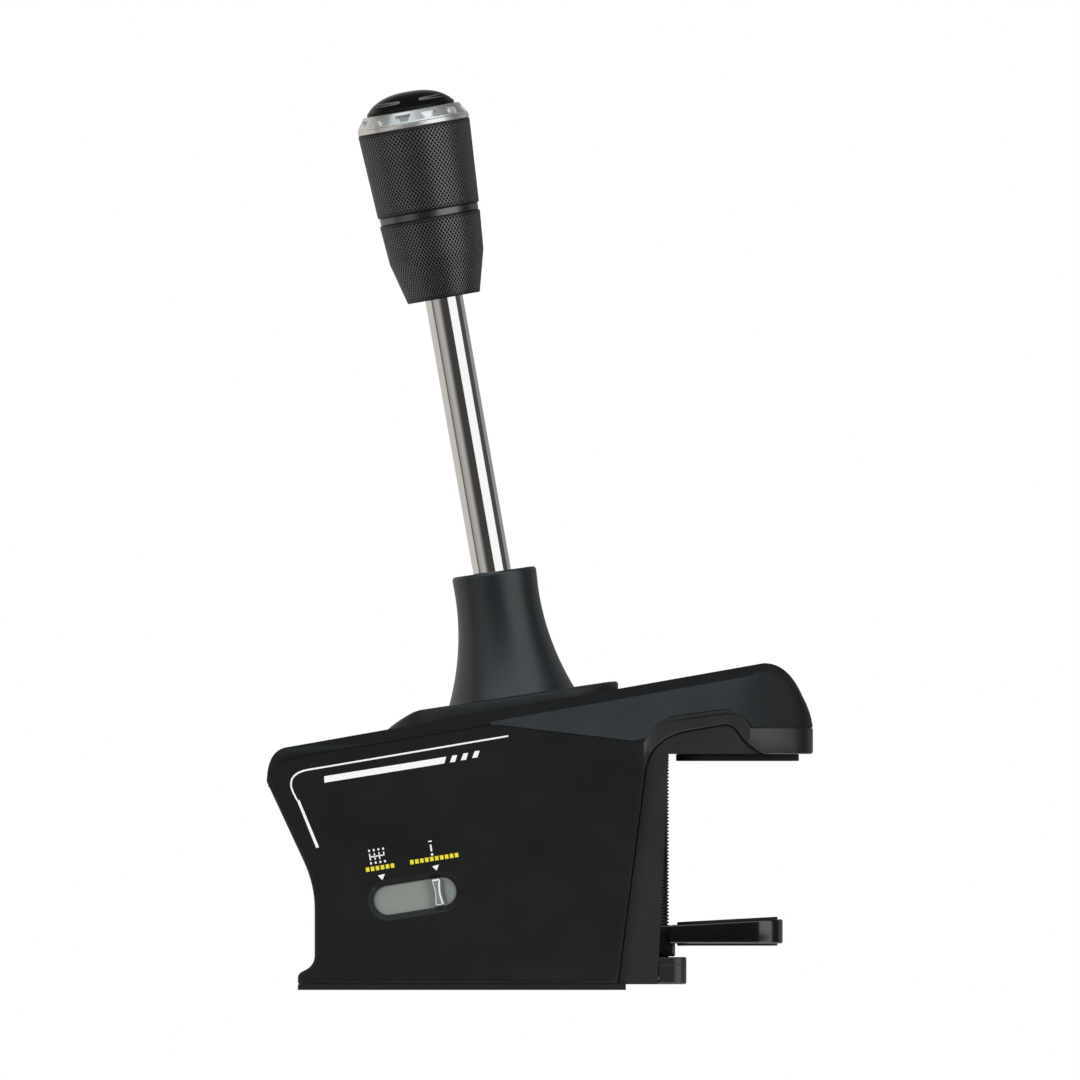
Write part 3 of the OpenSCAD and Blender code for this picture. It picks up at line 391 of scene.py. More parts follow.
class Graph:
    """The node tree of one material or of the world."""

    def __init__(self, owner: Union[bpy.types.Material, bpy.types.World]) -> None:
        """Starts a tree with no nodes.

        Args:
            owner: Material or world that has the tree.
        """
        self.owner = owner
        owner.use_nodes = True
        self.tree = owner.node_tree
        self.tree.nodes.clear()

    def node(self, kind: str, settings: dict | None = None, inputs: dict | None = None,
             out: Union[int, str] = 0) -> Sock:
        """Adds a node.

        Args:
            kind: Blender's name of the node type.
            settings: Attributes that are set first.
            inputs: Values or links by socket name or number.
            out: Output that is wanted.

        Returns:
            That output.
        """
        made = self.tree.nodes.new(kind)
        for key, value in (settings or {}).items():
            setattr(made, key, value)
        for key, value in (inputs or {}).items():
            if isinstance(value, Sock):
                self.tree.links.new(value.socket, made.inputs[key])
            elif isinstance(value, tuple) and len(value) == 3 and made.inputs[key].type == "RGBA":
                made.inputs[key].default_value = (*value, 1.0)
            else:
                made.inputs[key].default_value = value
        outlet = made.outputs[out] if made.outputs else None
        return Sock(self, outlet)

    def place(self) -> Sock:
        """Coordinates in metres that stay with the piece."""
        return self.node("ShaderNodeTexCoord", out="Object")

    def noise(self, size: float, stretch: Point = (1.0, 1.0, 1.0), detail: float = 2.0) -> Sock:
        """Soft noise.

        Args:
            size: Size of its grains in millimetres.
            stretch: How many times longer the grains are along each axis.
            detail: Octaves of finer noise.

        Returns:
            A value about 0.5.
        """
        scale = tuple(1.0 / s for s in stretch)
        at = self.node("ShaderNodeVectorMath", {"operation": "MULTIPLY"}, {0: self.place(), 1: scale})
        inputs = {"Vector": at, "Scale": 1.0 / (size * MM), "Detail": detail}
        return self.node("ShaderNodeTexNoise", None, inputs)

    def mix(self, share: Value, first: Union[Colour, Sock], second: Union[Colour, Sock]) -> Sock:
        """Colour between two colours."""
        return self.node("ShaderNodeMix", {"data_type": "RGBA"}, {0: share, 6: first, 7: second}, out=2)

    def bump(self, height: Sock, depth: float) -> Sock:
        """Normal that follows a height of some millimetres."""
        inputs = {"Height": height, "Distance": depth * MM, "Strength": 1.0}
        return self.node("ShaderNodeBump", None, inputs)

    def surface(self, inputs: dict) -> bpy.types.Material:
        """Ends the graph in one Principled shader.

        Args:
            inputs: Values or links by socket name.

        Returns:
            The finished material.
        """
        shader = self.node("ShaderNodeBsdfPrincipled", None, inputs)
        self.node("ShaderNodeOutputMaterial", None, {"Surface": shader})
        return self.owner


@dataclass(frozen=True)
class Finish:
    """A finish that pieces share; each kind says how its material is made."""

    name: str
    tone: Colour
    roughness: float

    def material(self) -> bpy.types.Material:
        """Material of the finish, made once."""
        return bpy.data.materials.get(self.name) or self.make()

    def graph(self) -> Graph:
        """Starts the material."""
        return Graph(bpy.data.materials.new(self.name))

    def make(self) -> bpy.types.Material:
        """Builds the material."""
        raise NotImplementedError


@dataclass(frozen=True)
class Moulded(Finish):
    """Moulded plastic or rubber with a fine eroded grain."""

    grain: float = 0.35
    depth: float = 0.02
    patch: float = 22.0
    patchy: float = 0.25
    specular: float = 0.4
    # Where a painted highlight fades along X, and the colour that it fades to.
    painted_light_fade_at: Flat = (0.0, 1.0)
    painted_light_fade_to: Optional[Colour] = None
    gloss_drift: float = 0.12
    gloss_grain: float = 0.16

    def make(self) -> bpy.types.Material:
        """Builds the material.

        Returns:
            Tone and gloss that drift over a hand's breadth, under a grain of the mould's texture, and where
            set a painted fade of light along X.
        """
        graph = self.graph()
        cloud = graph.noise(self.patch)
        grain = graph.noise(self.grain, detail=3.0)
        dark = tuple(c * (1.0 - self.patchy) for c in self.tone)
        light = tuple(c * (1.0 + self.patchy) for c in self.tone)
        gloss = self.roughness + (cloud - 0.5) * self.gloss_drift + (grain - 0.5) * self.gloss_grain
        tone = graph.mix(cloud, dark, light)
        # Painted light: where set, the tone fades along X into a second colour, so a highlight painted into
        # the colour dies away across the piece.
        if self.painted_light_fade_to:
            along = graph.node("ShaderNodeSeparateXYZ", None, {0: graph.place()}, out="X")
            ends = {"Value": along, "From Min": self.painted_light_fade_at[0] * MM, "From Max": self.painted_light_fade_at[1] * MM}
            share = graph.node("ShaderNodeMapRange", {"interpolation_type": "SMOOTHSTEP"}, ends)
            tone = graph.mix(share, tone, self.painted_light_fade_to)
        return graph.surface({
            "Base Color": tone,
            "Roughness": gloss,
            "Specular IOR Level": self.specular,
            "Normal": graph.bump(grain, self.depth),
        })


@dataclass(frozen=True)
class Metal(Finish):
    """Bare or plated metal with the marks of its making."""

    mark: float = 0.12
    stretch: Point = (1.0, 1.0, 1.0)
    depth: float = 0.002
    uneven: float = 0.1
    metallic: float = 1.0
    drift: float = 14.0
    mark_share: float = 0.6

    def make(self) -> bpy.types.Material:
        """Builds the material.

        Returns:
            Metal whose gloss and tone follow long or round tool marks and a slow drift.
        """
        graph = self.graph()
        marks = graph.noise(self.mark, self.stretch, detail=3.0)
        cloud = graph.noise(self.drift)
        dark = tuple(c * (1.0 - self.uneven) for c in self.tone)
        by_mark, by_cloud = self.mark_share, 1.0 - self.mark_share
        gloss = self.roughness + ((marks - 0.5) * by_mark + (cloud - 0.5) * by_cloud) * self.roughness
        return graph.surface({
            "Base Color": graph.mix(marks * by_mark + cloud * by_cloud, dark, self.tone),
            "Roughness": gloss,
            "Metallic": self.metallic,
            "Normal": graph.bump(marks, self.depth),
        })


@dataclass(frozen=True)
class Print(Finish):
    """Screen-printed ink, a little uneven where the grain shows through."""

    spot: float = 0.5
    thinnest: float = 0.82
    gloss_spread: float = 0.2
    depth: float = 0.006

    def make(self) -> bpy.types.Material:
        """Builds the material.

        Returns:
            Flat ink with fine thin spots.
        """
        graph = self.graph()
        thin = graph.noise(self.spot, detail=3.0)
        worn = tuple(c * self.thinnest for c in self.tone)
        return graph.surface({
            "Base Color": graph.mix(thin, worn, self.tone),
            "Roughness": self.roughness + (thin - 0.5) * self.gloss_spread,
            "Normal": graph.bump(thin, self.depth),
        })


@dataclass(frozen=True)
class CircuitBoard(Finish):
    """Soldermask over copper tracks."""

    cell: float = 2.5
    track_edge: Flat = (0.45, 0.55)
    lighter: float = 1.7
    duller: float = 0.1
    height: float = 0.03

    def make(self) -> bpy.types.Material:
        """Builds the material.

        Returns:
            Glossy mask with raised tracks a little lighter than the rest.
        """
        graph = self.graph()
        cells = graph.node("ShaderNodeTexVoronoi", {"distance": "MANHATTAN"},
                           {"Vector": graph.place(), "Scale": 1.0 / (self.cell * MM)})
        ends = {"Value": cells, "From Min": self.track_edge[0], "From Max": self.track_edge[1]}
        tracks = graph.node("ShaderNodeMapRange", {"interpolation_type": "SMOOTHSTEP"}, ends)
        bright = tuple(min(1.0, c * self.lighter) for c in self.tone)
        return graph.surface({
            "Base Color": graph.mix(tracks, self.tone, bright),
            "Roughness": self.roughness + tracks * self.duller,
            "Normal": graph.bump(tracks, self.height),
        })


class Wear(Enum):
    """Finishes that the pieces wear."""

    HOUSING = Moulded("eroded_housing_plastic", (0.0102, 0.0102, 0.0103), 0.46, 0.32, 0.022, specular=0.28)
    COVER = Moulded("eroded_cover_plastic", (0.0098, 0.0108, 0.0114), 0.44, 0.32, 0.016, specular=0.2)
    BEZEL = Moulded("satin_bezel_plastic", (0.0165, 0.0185, 0.0195), 0.42, 0.32, 0.012, specular=0.3)
    # Painted light: the cover's upright side wears a lighter, bluish copy of the cover's plastic as a painted
    # reflection, fading back to the cover's own tone towards the nose.
    FACET = Moulded("cover_side_painted_reflection", (0.0295, 0.0358, 0.0402), 0.44, 0.32, 0.016, specular=0.2,
                    painted_light_fade_at=(66.0, 88.0), painted_light_fade_to=(0.0100, 0.0108, 0.0114))
    SHROUD = Moulded("satin_shroud_plastic", (0.0095, 0.0135, 0.0155), 0.36, 0.22, 0.006, specular=0.75)
    # Painted light: the band round the arch is the housing's plastic at about twice its tone, a painted
    # highlight on its bevel.
    BAND_PLASTIC = Moulded("arch_band_painted_highlight", (0.0215, 0.0220, 0.0226), 0.34, 0.3, 0.010, specular=0.8)
    # Painted light: the skirt is the housing's plastic at several times its tone, a painted highlight, fading
    # dark towards the nose.
    SKIRT = Moulded("skirt_plastic_painted_highlight", (0.0370, 0.0370, 0.0368), 0.34, 0.3, 0.010, specular=0.5,
                    painted_light_fade_at=(80.0, 96.0), painted_light_fade_to=(0.0110, 0.0110, 0.0112))
    CLAMP = Moulded("satin_clamp_plastic", (0.0190, 0.0190, 0.0191), 0.38, 0.3, 0.014, specular=0.7)
    JAW = Metal("black_plated_jaw", (0.118, 0.118, 0.118), 0.20, 0.3, depth=0.0003, uneven=0.06)
    BLOCK = Moulded("satin_block_plastic", (0.0265, 0.0285, 0.0280), 0.30, 0.3, 0.006, specular=0.8)
    # Painted shadow: near-black finish of the strip laid along the gap between the arch band and the clamp's
    # arm.
    GASKET = Moulded("dark_gasket", (0.0022, 0.0022, 0.0022), 0.7, 0.3, 0.01, specular=0.1)
    RUBBER = Moulded("moulded_rubber", (0.0125, 0.0125, 0.0127), 0.7, 0.2, 0.025, specular=0.3)
    CAP = Moulded("gloss_black_cap", (0.0030, 0.0030, 0.0034), 0.30, 0.15, 0.0010, specular=0.17)
    GREY = Moulded("grey_slider_plastic", (0.252, 0.278, 0.252), 0.42, 0.2, 0.004, patchy=0.06)
    # Painted shade: a darker copy of the slider's grey, worn by the tab's front face and by the ridge beside
    # the tab.
    TAB_FACE = Moulded("shaded_tab_plastic", (0.200, 0.215, 0.205), 0.42, 0.2, 0.004, patchy=0.06)
    # Painted light: a lighter copy of the housing's plastic on the lower, lit bevel of the switch window, a
    # painted highlight.
    WINDOW = Moulded("window_bevel_painted_highlight", (0.0165, 0.0190, 0.0200), 0.36, 0.3, 0.006, specular=0.5)
    BUSH = Moulded("pale_bush_plastic", (0.52, 0.5, 0.44), 0.45, 0.3, 0.006, patchy=0.06)
    SHAFT = Metal("ground_nickel_shaft", (0.96, 0.95, 0.94), 0.07, 0.05, (1.0, 1.0, 0.12), 0.0006, 0.05)
    # Painted light and shade: the knurl's bars wear a lighter metal as a painted highlight, and its pits and
    # end rims a near-black one as painted shade.
    KNURL = Metal("knurl_bars_painted_highlight", (0.185, 0.187, 0.192), 0.36, 0.1, depth=0.001, uneven=0.2,
                  metallic=0.75)
    PITS = Metal("knurl_pits_painted_shade", (0.014, 0.014, 0.015), 0.45, 0.1, depth=0.001, uneven=0.2,
                 metallic=0.5)
    BAND = Metal("turned_anodised_band", (0.20, 0.20, 0.205), 0.30, 0.05, (8.0, 8.0, 0.3), 0.0008, 0.15)
    CHROME = Metal("satin_faceted_ring", (0.93, 0.91, 0.89), 0.30, 0.08, depth=0.0002, uneven=0.04,
                   metallic=0.92)
    STEEL = Metal("zinc_plated_steel", (0.50, 0.50, 0.49), 0.30, 0.25, depth=0.003, uneven=0.2)
    SCREW = Metal("blackened_screw_steel", (0.16, 0.16, 0.165), 0.34, 0.2, depth=0.004, uneven=0.3)
    BRASS = Metal("turned_brass", (0.62, 0.45, 0.18), 0.25, 0.1, (1.0, 1.0, 0.2), 0.002, 0.15)
    CAST = Metal("sand_cast_aluminium", (0.50, 0.50, 0.51), 0.5, 0.6, depth=0.03, uneven=0.15)
    WHITE_INK = Print("white_ink", (1.0, 1.0, 1.0), 0.5)
    YELLOW_INK = Print("yellow_ink", (0.90, 0.80, 0.035), 0.5)
    # Painted highlight: a near-white line laid along the tab's top and side edges, where they catch the
    # light.
    TAB_EDGE = Print("tab_edge_painted_highlight", (0.92, 0.92, 0.92), 0.3)
    GREY_INK = Print("grey_ink", (0.20, 0.20, 0.20), 0.45)
    BOARD = CircuitBoard("green_board", (0.012, 0.10, 0.04), 0.3)


SLOT_WEAR = {
    "black_rubber": Wear.RUBBER, "plate_steel": Wear.STEEL, "cast_aluminium": Wear.CAST,
    "housing_plastic": Wear.HOUSING, "shroud_plastic": Wear.SHROUD, "clamp_plastic": Wear.CLAMP,
    "bush_plastic": Wear.BUSH, "board": Wear.BOARD, "bright_steel": Wear.STEEL, "screw_steel": Wear.SCREW,
    "brass": Wear.BRASS, "grey_plastic": Wear.GREY, "polished_steel": Wear.SHAFT,
    "knob_aluminium": Wear.KNURL, "bright_chrome": Wear.CHROME, "gloss_black": Wear.CAP,
}
EDGE_WIDTH = {"clamp_frame": 0.8, "rubber_sole": 0.45, "mode_slider": 0.3}
EDGE_STEPS = 3


def dress_frame() -> None:
    """Gives every solid the finish of its material slot, and rounds the edges of those in plain sight."""
    for part in frame["record"]["subparts"]:
        solid = frame["nodes"][part["node"]]
        solid.data.materials.clear()
        solid.data.materials.append(SLOT_WEAR[part["material_slot"]].value.material())
        if part["node"] in EDGE_WIDTH:
            ease = solid.modifiers.new("edges", "BEVEL")
            ease.width = EDGE_WIDTH[part["node"]] * MM
            ease.segments = EDGE_STEPS
            ease.limit_method = "ANGLE"
            ease.angle_limit = radians(SHARP)
            even = solid.modifiers.new("even", "WEIGHTED_NORMAL")
            even.keep_sharp = True


def plug(ring: Sequence[Flat], lift: Lift, low: float, high: float) -> Piece:
    """Straight tool to cut with, of one section from low to high."""
    return Skin().block(ring, lift, low, high).build("plug")


def cut(piece: Piece, *tools: Piece) -> None:
    """Cuts tools out of a piece and throws them away.

    Args:
        piece: Closed mesh that is cut.
        tools: Closed meshes that are taken out.
    """
    for tool in tools:
        step = piece.modifiers.new("cut", "BOOLEAN")
        step.operation = "DIFFERENCE"
        step.solver = "EXACT"
        step.object = tool
    settle(piece, SHARP)
    for tool in tools:
        bpy.data.objects.remove(tool)


@dataclass
class BodyShape:
    """Outlines in the side view that the housing, the cover and the clamp share."""

    half: float = 46.0
    wall: float = 2.2
    low: float = 2.1
    waist_x: float = -83.6
    foot_flare: float = 6.2
    foot_edge: float = 2.5
    foot_shoulder: float = 5.1
    foot_tilt: float = 23.5
    foot_round: float = 2.3
    foot_lip: float = 0.6
    foot_blend: float = 5.8
    waist_z: float = 30.0
    bend: float = 9.0
    lean: float = 25.0
    top_at_origin: float = 106.4
    top_slope: float = 10.0
    brow_z: float = 77.4
    brow_back: float = 7.5
    brow_edge: float = 3.0
    brow_cut: float = 6.0
    corner: float = 2.0
    cover_depth: float = 4.4
    seam_run: float = 11.0
    seam_bow: float = 0.3
    seam_drop: float = 0.6
    seam_crest: Flat = (-17.2, 97.97)
    arch_at: Flat = (38.7, 87.3)
    frame_low_x: float = 28.5
    frame_high: Flat = (38.7, 81.4)
    hood_under: float = 87.3
    skirt_top: float = 96.8
    arch_over: Line = ((-0.6, 4.1), (3.9, 12.5), (9.3, 13.6), (28.6, 16.3), (34.1, 17.3), (36.6, 13.3),
                       (39.0, 9.5))
    arch_under: Line = ((0.0, -5.9), (1.9, 6.1), (15.4, 8.7), (28.8, 11.0), (32.4, 11.6), (34.8, 7.7),
                        (37.8, 3.0), (44.0, 0.0))
    hood_reach: float = 100.8
    nose_corner: float = 16.0
    nose_run: float = 18.3
    nose_tip: float = 9.2
    nose_drop: float = 1.4
    nose_mid: float = 3.9
    nose_face: float = 12.0
    nose_bulge: float = 0.6
    arch_foot_steps: int = 10
    hood_turn_x: float = 77.7
    hood_turn: float = 8.0
    hood_depth: float = 18.0

    def top(self, x: float) -> float:
        """Height of the cover's top line at x."""
        return self.top_at_origin + x * tan(radians(self.top_slope))

    def lean_x(self, z: float) -> float:
        """Front of the housing where it leans out over the foot."""
        return self.waist_x - (z - self.waist_z - self.bend) * tan(radians(self.lean))

    def arch(self, *offsets: Flat) -> list[Flat]:
        """Points given from the corner where the hood meets the clamp."""
        return [(self.arch_at[0] + x, self.arch_at[1] + z) for x, z in offsets]

    def brow(self) -> list[Flat]:
        """Curve from the foremost edge back into the top line.

        Returns:
            Points in the side view.
        """
        edge_x = self.lean_x(self.brow_z)
        back, slope = (tan(radians(a)) for a in (self.brow_back, self.top_slope))
        x = (edge_x + (self.top_at_origin - self.brow_z) * back) / (1.0 - back * slope)
        start = (edge_x + self.brow_edge * back, self.brow_z + self.brow_edge)
        end_x = x + self.brow_cut * cos(radians(self.top_slope))
        return chain([(edge_x, self.brow_z)],
                     curve(start, (x, self.top(x)), (end_x, self.top(end_x)), 14))

    def front(self) -> list[Flat]:
        """Front profile from the foot to the top of the brow.

        Returns:
            Points in the side view.
        """
        foot_x, shoulder = self.waist_x - self.foot_flare, self.low + self.foot_shoulder
        rise = tan(radians(self.foot_tilt))
        edge = (foot_x, self.low + self.foot_edge)
        crown = (foot_x + self.foot_round, shoulder)
        blend = (self.waist_x, shoulder + self.foot_blend)
        waist = (self.waist_x, self.waist_z)
        bend_z = self.waist_z + 2 * self.bend
        bend_end = (self.lean_x(bend_z), bend_z)
        return chain(
            run((foot_x + self.foot_lip, self.low), (foot_x, self.low + self.foot_lip), 2),
            run((foot_x, self.low + self.foot_lip), edge, 2),
            curve(edge, (foot_x, shoulder - self.foot_round * rise), crown, 6),
            curve(crown, (self.waist_x, shoulder + (self.foot_flare - self.foot_round) * rise), blend, 8),
            run(blend, waist, 4),
            curve(waist, (self.waist_x, self.waist_z + self.bend), bend_end, 8),
            run(bend_end, self.brow()[0], 7),
            self.brow(),
        )

    def front_x(self, z: float) -> float:
        """Front of the body at a height."""
        return lookup([(h, x) for x, h in self.front()], z)

    def arch_outer(self) -> list[Flat]:
        """Upper edge of the band round the arch, down to the skirt.

        Returns:
            Points in the side view.
        """
        a, b, c, d, e, f, g = self.arch(*self.arch_over)
        return chain(curve(a, b, c, 10), run(c, d, 6), curve(d, e, f, 8), run(f, g, 3))

    def arch_inner(self) -> list[Flat]:
        """Lower edge of the band round the arch, down to the skirt's foot.

        Returns:
            Points in the side view.
        """
        a, b, c, d, e, f, g, h = self.arch(*self.arch_under)
        return chain(curve(a, b, c, 12), run(c, d, 6), curve(d, e, f, 8),
                     curve(f, g, h, self.arch_foot_steps))

    def seam(self, x: float) -> float:
        """Height of the joint between housing and cover at x, seen from the side."""
        return lookup(self.seam_line(), x)

    def seam_line(self) -> list[Flat]:
        """The joint from the foremost edge to the hood's end.

        Returns:
            Points in the side view.
        """
        edge_x = self.lean_x(self.brow_z)
        bend_x, start_x = edge_x + self.seam_bow * self.seam_run, edge_x + self.seam_run
        bow = curve((edge_x, self.front_seam()), (bend_x, self.top(bend_x) - self.cover_depth),
                    (start_x, self.top(start_x) - self.cover_depth), 10)
        return chain(bow, [self.seam_crest], self.arch_outer(), [(self.hood_reach, self.skirt_top)])

    def front_seam(self) -> float:
        """Height of the joint across the front."""
        return self.brow_z - self.seam_drop

    def side_corner(self) -> Flat:
        """Finds where on the joint the rounded front corner runs into the side.

        Returns:
            Point in the side view.
        """
        z = self.brow_z
        for _ in range(20):
            z = self.seam(self.front_x(z) + self.corner)
        return (self.front_x(z) + self.corner, z)

    def rear(self, z: float) -> float:
        """Rear edge of the side panel at a height."""
        return lookup([(self.low, self.frame_low_x), self.frame_high[::-1], self.arch_outer()[0][::-1]], z)

    def hood_share(self, x: float) -> float:
        """Share of the way round the hood's rounded end in plan."""
        t = min(1.0, max(0.0, (x - self.hood_turn_x) / (self.hood_reach - self.hood_turn_x)))
        return 1.0 - sqrt(1.0 - t)

    def hood_point(self, t: float) -> Flat:
        """Point of the hood's rounded end in plan.

        Args:
            t: Share of the way along it.

        Returns:
            X, and how far it lies in from the side.
        """
        long = self.hood_reach - self.hood_turn_x
        first = long * tan(radians(self.hood_turn))
        inset = 2.0 * t * (1.0 - t) * first + t * t * self.hood_depth
        return (self.hood_turn_x + long * t * (2.0 - t), inset)

    def hood_inset(self, x: float) -> float:
        """How far the hood's side lies in at x."""
        return self.hood_point(self.hood_share(x))[1]

    def nose(self) -> list[Flat]:
        """End of the hood, from the top line down to the skirt.

        Returns:
            Points in the side view.
        """
        start_x, tip_x = self.hood_reach - self.nose_run, self.hood_reach - self.nose_tip
        face = (self.hood_reach - self.nose_mid, self.skirt_top + self.nose_face)
        bulge = (self.hood_reach - self.nose_bulge, (face[1] + self.skirt_top) / 2)
        return chain(curve((start_x, self.top(start_x)), (tip_x, self.top(tip_x) - self.nose_drop), face, 12),
                     curve(face, bulge, (self.hood_reach, self.skirt_top), 8))


@dataclass
class Housing:
    """Lower housing: front and side panels, the band round the arch and the skirt of the hood."""

    shape: BodyShape
    crease_x: float = -24.0
    hollow: float = 1.3
    hollow_fade: Flat = (8.0, 9.0)
    foot_turn_in: float = 0.5
    columns: tuple[int, int] = (18, 14)
    row_clear: float = 0.3
    column_growth: float = 1.3
    corner_steps: int = 8
    rear_edge: Line = ((0.45, 0.0), (0.1, 0.12), (0.0, 0.5))
    band_bevel: float = 2.2
    band_end: Flat = (38.4, 3.2)
    band_steps: int = 40
    end_clear: float = 0.2
    band_fade: float = 5.0
    band_profile: Line = ((0.0, 0.12), (0.04, 0.0), (0.5, 0.0), (0.93, 0.0), (1.0, 0.3))
    skirt_lip: float = 1.0
    lip_middle: Flat = (0.3, 0.25)
    skirt_top_ease: Flat = (0.4, 0.15)
    skirt_steps: int = 24
    gasket: Flat = (0.55, 2.75)
    gasket_thick: float = 1.0
    gasket_steps: int = 80
    tongue: float = 1.7
    tongue_inset: float = 0.45
    tongue_wall: float = 0.8
    tongue_steps: int = 16
    window: Flat = (-46.4, 34.8)
    window_size: Flat = (30.4, 10.4)
    window_tilt: float = 9.1
    window_bevel: float = 2.4
    window_deep: float = 12.0
    window_over: float = 0.6
    bevel_facing: Flat = (0.3, 0.95)
    bevel_lit: Flat = (-0.2, 0.5)
    usb_at: Flat = (-54.0, 14.8)
    usb_size: Flat = (10.2, 4.4)
    usb_corner: float = 2.0
    usb_depth: Flat = (36.0, 56.0)

    def sink(self, x: float, z: float) -> float:
        """How far the side panel lies in from the flat.

        Args:
            x: Place along the side.
            z: Height.

        Returns:
            Depth at that point.
        """
        shape = self.shape
        lip = self.foot_turn_in * max(0.0, 1.0 - (z - shape.low) / shape.foot_lip)
        t = (x - self.crease_x) / (shape.rear(z) - self.crease_x)
        if t <= 0.0 or t >= 1.0:
            return lip
        foot, top = self.hollow_fade
        ends = smooth((shape.seam(x) - z) / top) * smooth((z - shape.low) / foot)
        return lip + self.hollow * 4.0 * t * (1.0 - t) * ends

    def side(self, v: float, z_side: float, columns: Sequence[float]) -> list[Flat]:
        """One row of the side panel, from the front corner to the clamp.

        Args:
            v: Share of the way from the foot to the seam.
            z_side: Height of the row at the front corner.
            columns: Shares of the way along the row.

        Returns:
            Points of the side view.
        """
        shape = self.shape
        high_left, high_right = shape.side_corner(), shape.arch_outer()[0]
        left = (shape.front_x(z_side) + shape.corner, z_side)
        rear_z = shape.low + v * (high_right[1] - shape.low)
        right = (shape.rear(rear_z), rear_z)
        low_left = (shape.front_x(shape.low) + shape.corner, shape.low)
        low_right = (shape.frame_low_x, shape.low)
        points = []
        for u in columns:
            low = lerp(low_left, low_right, u)
            x = high_left[0] + (high_right[0] - high_left[0]) * u
            high = (x, shape.seam(x))
            ruled = [lerp(low, high, v)[k] + lerp(left, right, u)[k] for k in range(2)]
            flat = lerp(lerp(low_left, low_right, u), lerp(high_left, high_right, u), v)
            points.append((ruled[0] - flat[0], ruled[1] - flat[1]))
        return points

    def panel_rows(self) -> list[list[Point]]:
        """Rows of the panels, from foot to seam, round the front from one clamp flank to the other.

        Returns:
            Rows of points of equal length.
        """
        shape = self.shape
        front_top, side_top = shape.front_seam(), shape.side_corner()
        high_right = shape.arch_outer()[0]
        crest = (shape.seam_crest[0] - side_top[0]) / (high_right[0] - side_top[0])
        ahead, behind = self.columns
        columns = [crest * (i / ahead) ** self.column_growth for i in range(ahead)]
        columns += [crest + (1 - crest) * i / behind for i in range(behind + 1)]
        heights = [z for _, z in shape.front() if z < front_top - self.row_clear] + [front_top]
        lift_from = shape.waist_z + 2 * shape.bend
        rows = []
        for z in heights:
            v = (z - shape.low) / (front_top - shape.low)
            lift = (side_top[1] - front_top) * smooth((z - lift_from) / (front_top - lift_from))
            panel = [(x, self.sink(x, h) - shape.half, h) for x, h in self.side(v, z + lift, columns)]
            x, y, h = panel.pop()
            panel += [(x - back, y + turned_in, h) for back, turned_in in self.rear_edge]
            corner = []
            for i in range(1, self.corner_steps + 1):
                turn = pi / 2 * i / self.corner_steps
                h = z + lift * (1.0 - sin(turn))
                x = shape.front_x(h) + shape.corner * (1.0 - sin(turn))
                corner.append((x, -shape.half + shape.corner * (1.0 - cos(turn)), h))
            left = panel[::-1] + corner
            flat = shape.half - shape.corner
            middle = [(shape.front_x(z), flat * t / 4, z) for t in range(-3, 4)]
            rows.append(left + middle + [(x, -y, h) for x, y, h in left[::-1]])
        return rows

    def band_rows(self) -> list[list[Point]]:
        """Lays out the bevelled band round the arch on the near side.

        Returns:
            Rows from its upper to its lower edge.
        """
        shape = self.shape
        end = shape.arch(self.band_end)[0]
        lower = [p for p in shape.arch_inner() if p[0] < end[0] - self.end_clear] + [end]
        rows = []
        edges = (spread(shape.arch_outer(), self.band_steps), spread(lower, self.band_steps))
        for i, (outer, inner) in enumerate(zip(*edges)):
            deep = self.band_bevel * smooth((i + 0.5) / self.band_fade)
            row = []
            for t, turn_in in self.band_profile:
                x, z = lerp(outer, inner, t)
                row.append((x, deep * t + turn_in - shape.half, z))
            rows.append(row + [(x, y + shape.wall, z) for x, y, z in row[::-1]])
        return rows

    def gasket_rows(self) -> list[list[Point]]:
        """Lays out the thin near-black strip between the band and the clamp's arm, a painted shadow in the
        gap between them.

        Returns:
            Rows of points.
        """
        shape = self.shape
        upright = run((shape.frame_low_x, shape.low + shape.foot_lip), shape.frame_high, 12)
        path = spread(chain(upright, shape.arch_inner()), self.gasket_steps)
        wide, deep = self.gasket
        face, back = deep - shape.half, deep - shape.half + self.gasket_thick
        rows = []
        for (x, z), step in zip(path, across(path)):
            low_x, low_z = x - step[0] * wide, z - step[1] * wide
            rows.append([(x, face, z), (low_x, face, low_z), (low_x, back, low_z), (x, back, z)])
        return rows

    def skirt_rows(self) -> list[list[Point]]:
        """Lays out the hood's skirt, from one arch round the nose to the other.

        Returns:
            Rows of points, each from the upper to the lower edge.
        """
        shape = self.shape
        reach, high = shape.hood_reach, shape.skirt_top
        start = (shape.arch_outer()[-1][0], shape.arch(self.band_end)[0][0])

        def levels(low: float) -> list[tuple[float, float]]:
            """Steps down one row of the skirt.

            Args:
                low: Height of the lower edge.

            Returns:
                Heights, each with how far it lies in from the face.
            """
            lip, (drop, inset) = self.skirt_lip, self.skirt_top_ease
            return [(high, inset), (high - drop, 0.0), ((high + low) / 2, 0.0), (low + lip, 0.0),
                    (low + self.lip_middle[0] * lip, self.lip_middle[1] * lip), (low, lip)]

        left = []
        last = self.skirt_steps
        for i in range(last + 1):
            x, inset = shape.hood_point(i / last)
            before, after = (shape.hood_point(min(max(i + k, 0.0), last) / last) for k in (-0.5, 0.5))
            length = dist(before, after)
            out = ((after[1] - before[1]) / length, (before[0] - after[0]) / length)
            low = lookup(shape.arch_inner()[-shape.arch_foot_steps - 1:], start[1] if i == 0 else x)
            shift = (start[1] - start[0]) if i == 0 else 0.0
            row = []
            for z, e in levels(low):
                moved = x + shift * (high - z) / (high - low)
                row.append((moved - e * out[0], inset - shape.half - e * out[1], z))
            left.append(row)
        flat = shape.half - shape.hood_depth
        front = [[(reach - e, flat * t / 4, z) for z, e in levels(shape.hood_under)] for t in range(-3, 4)]
        return left + front + [[(x, -y, z) for x, y, z in row] for row in left[::-1]]

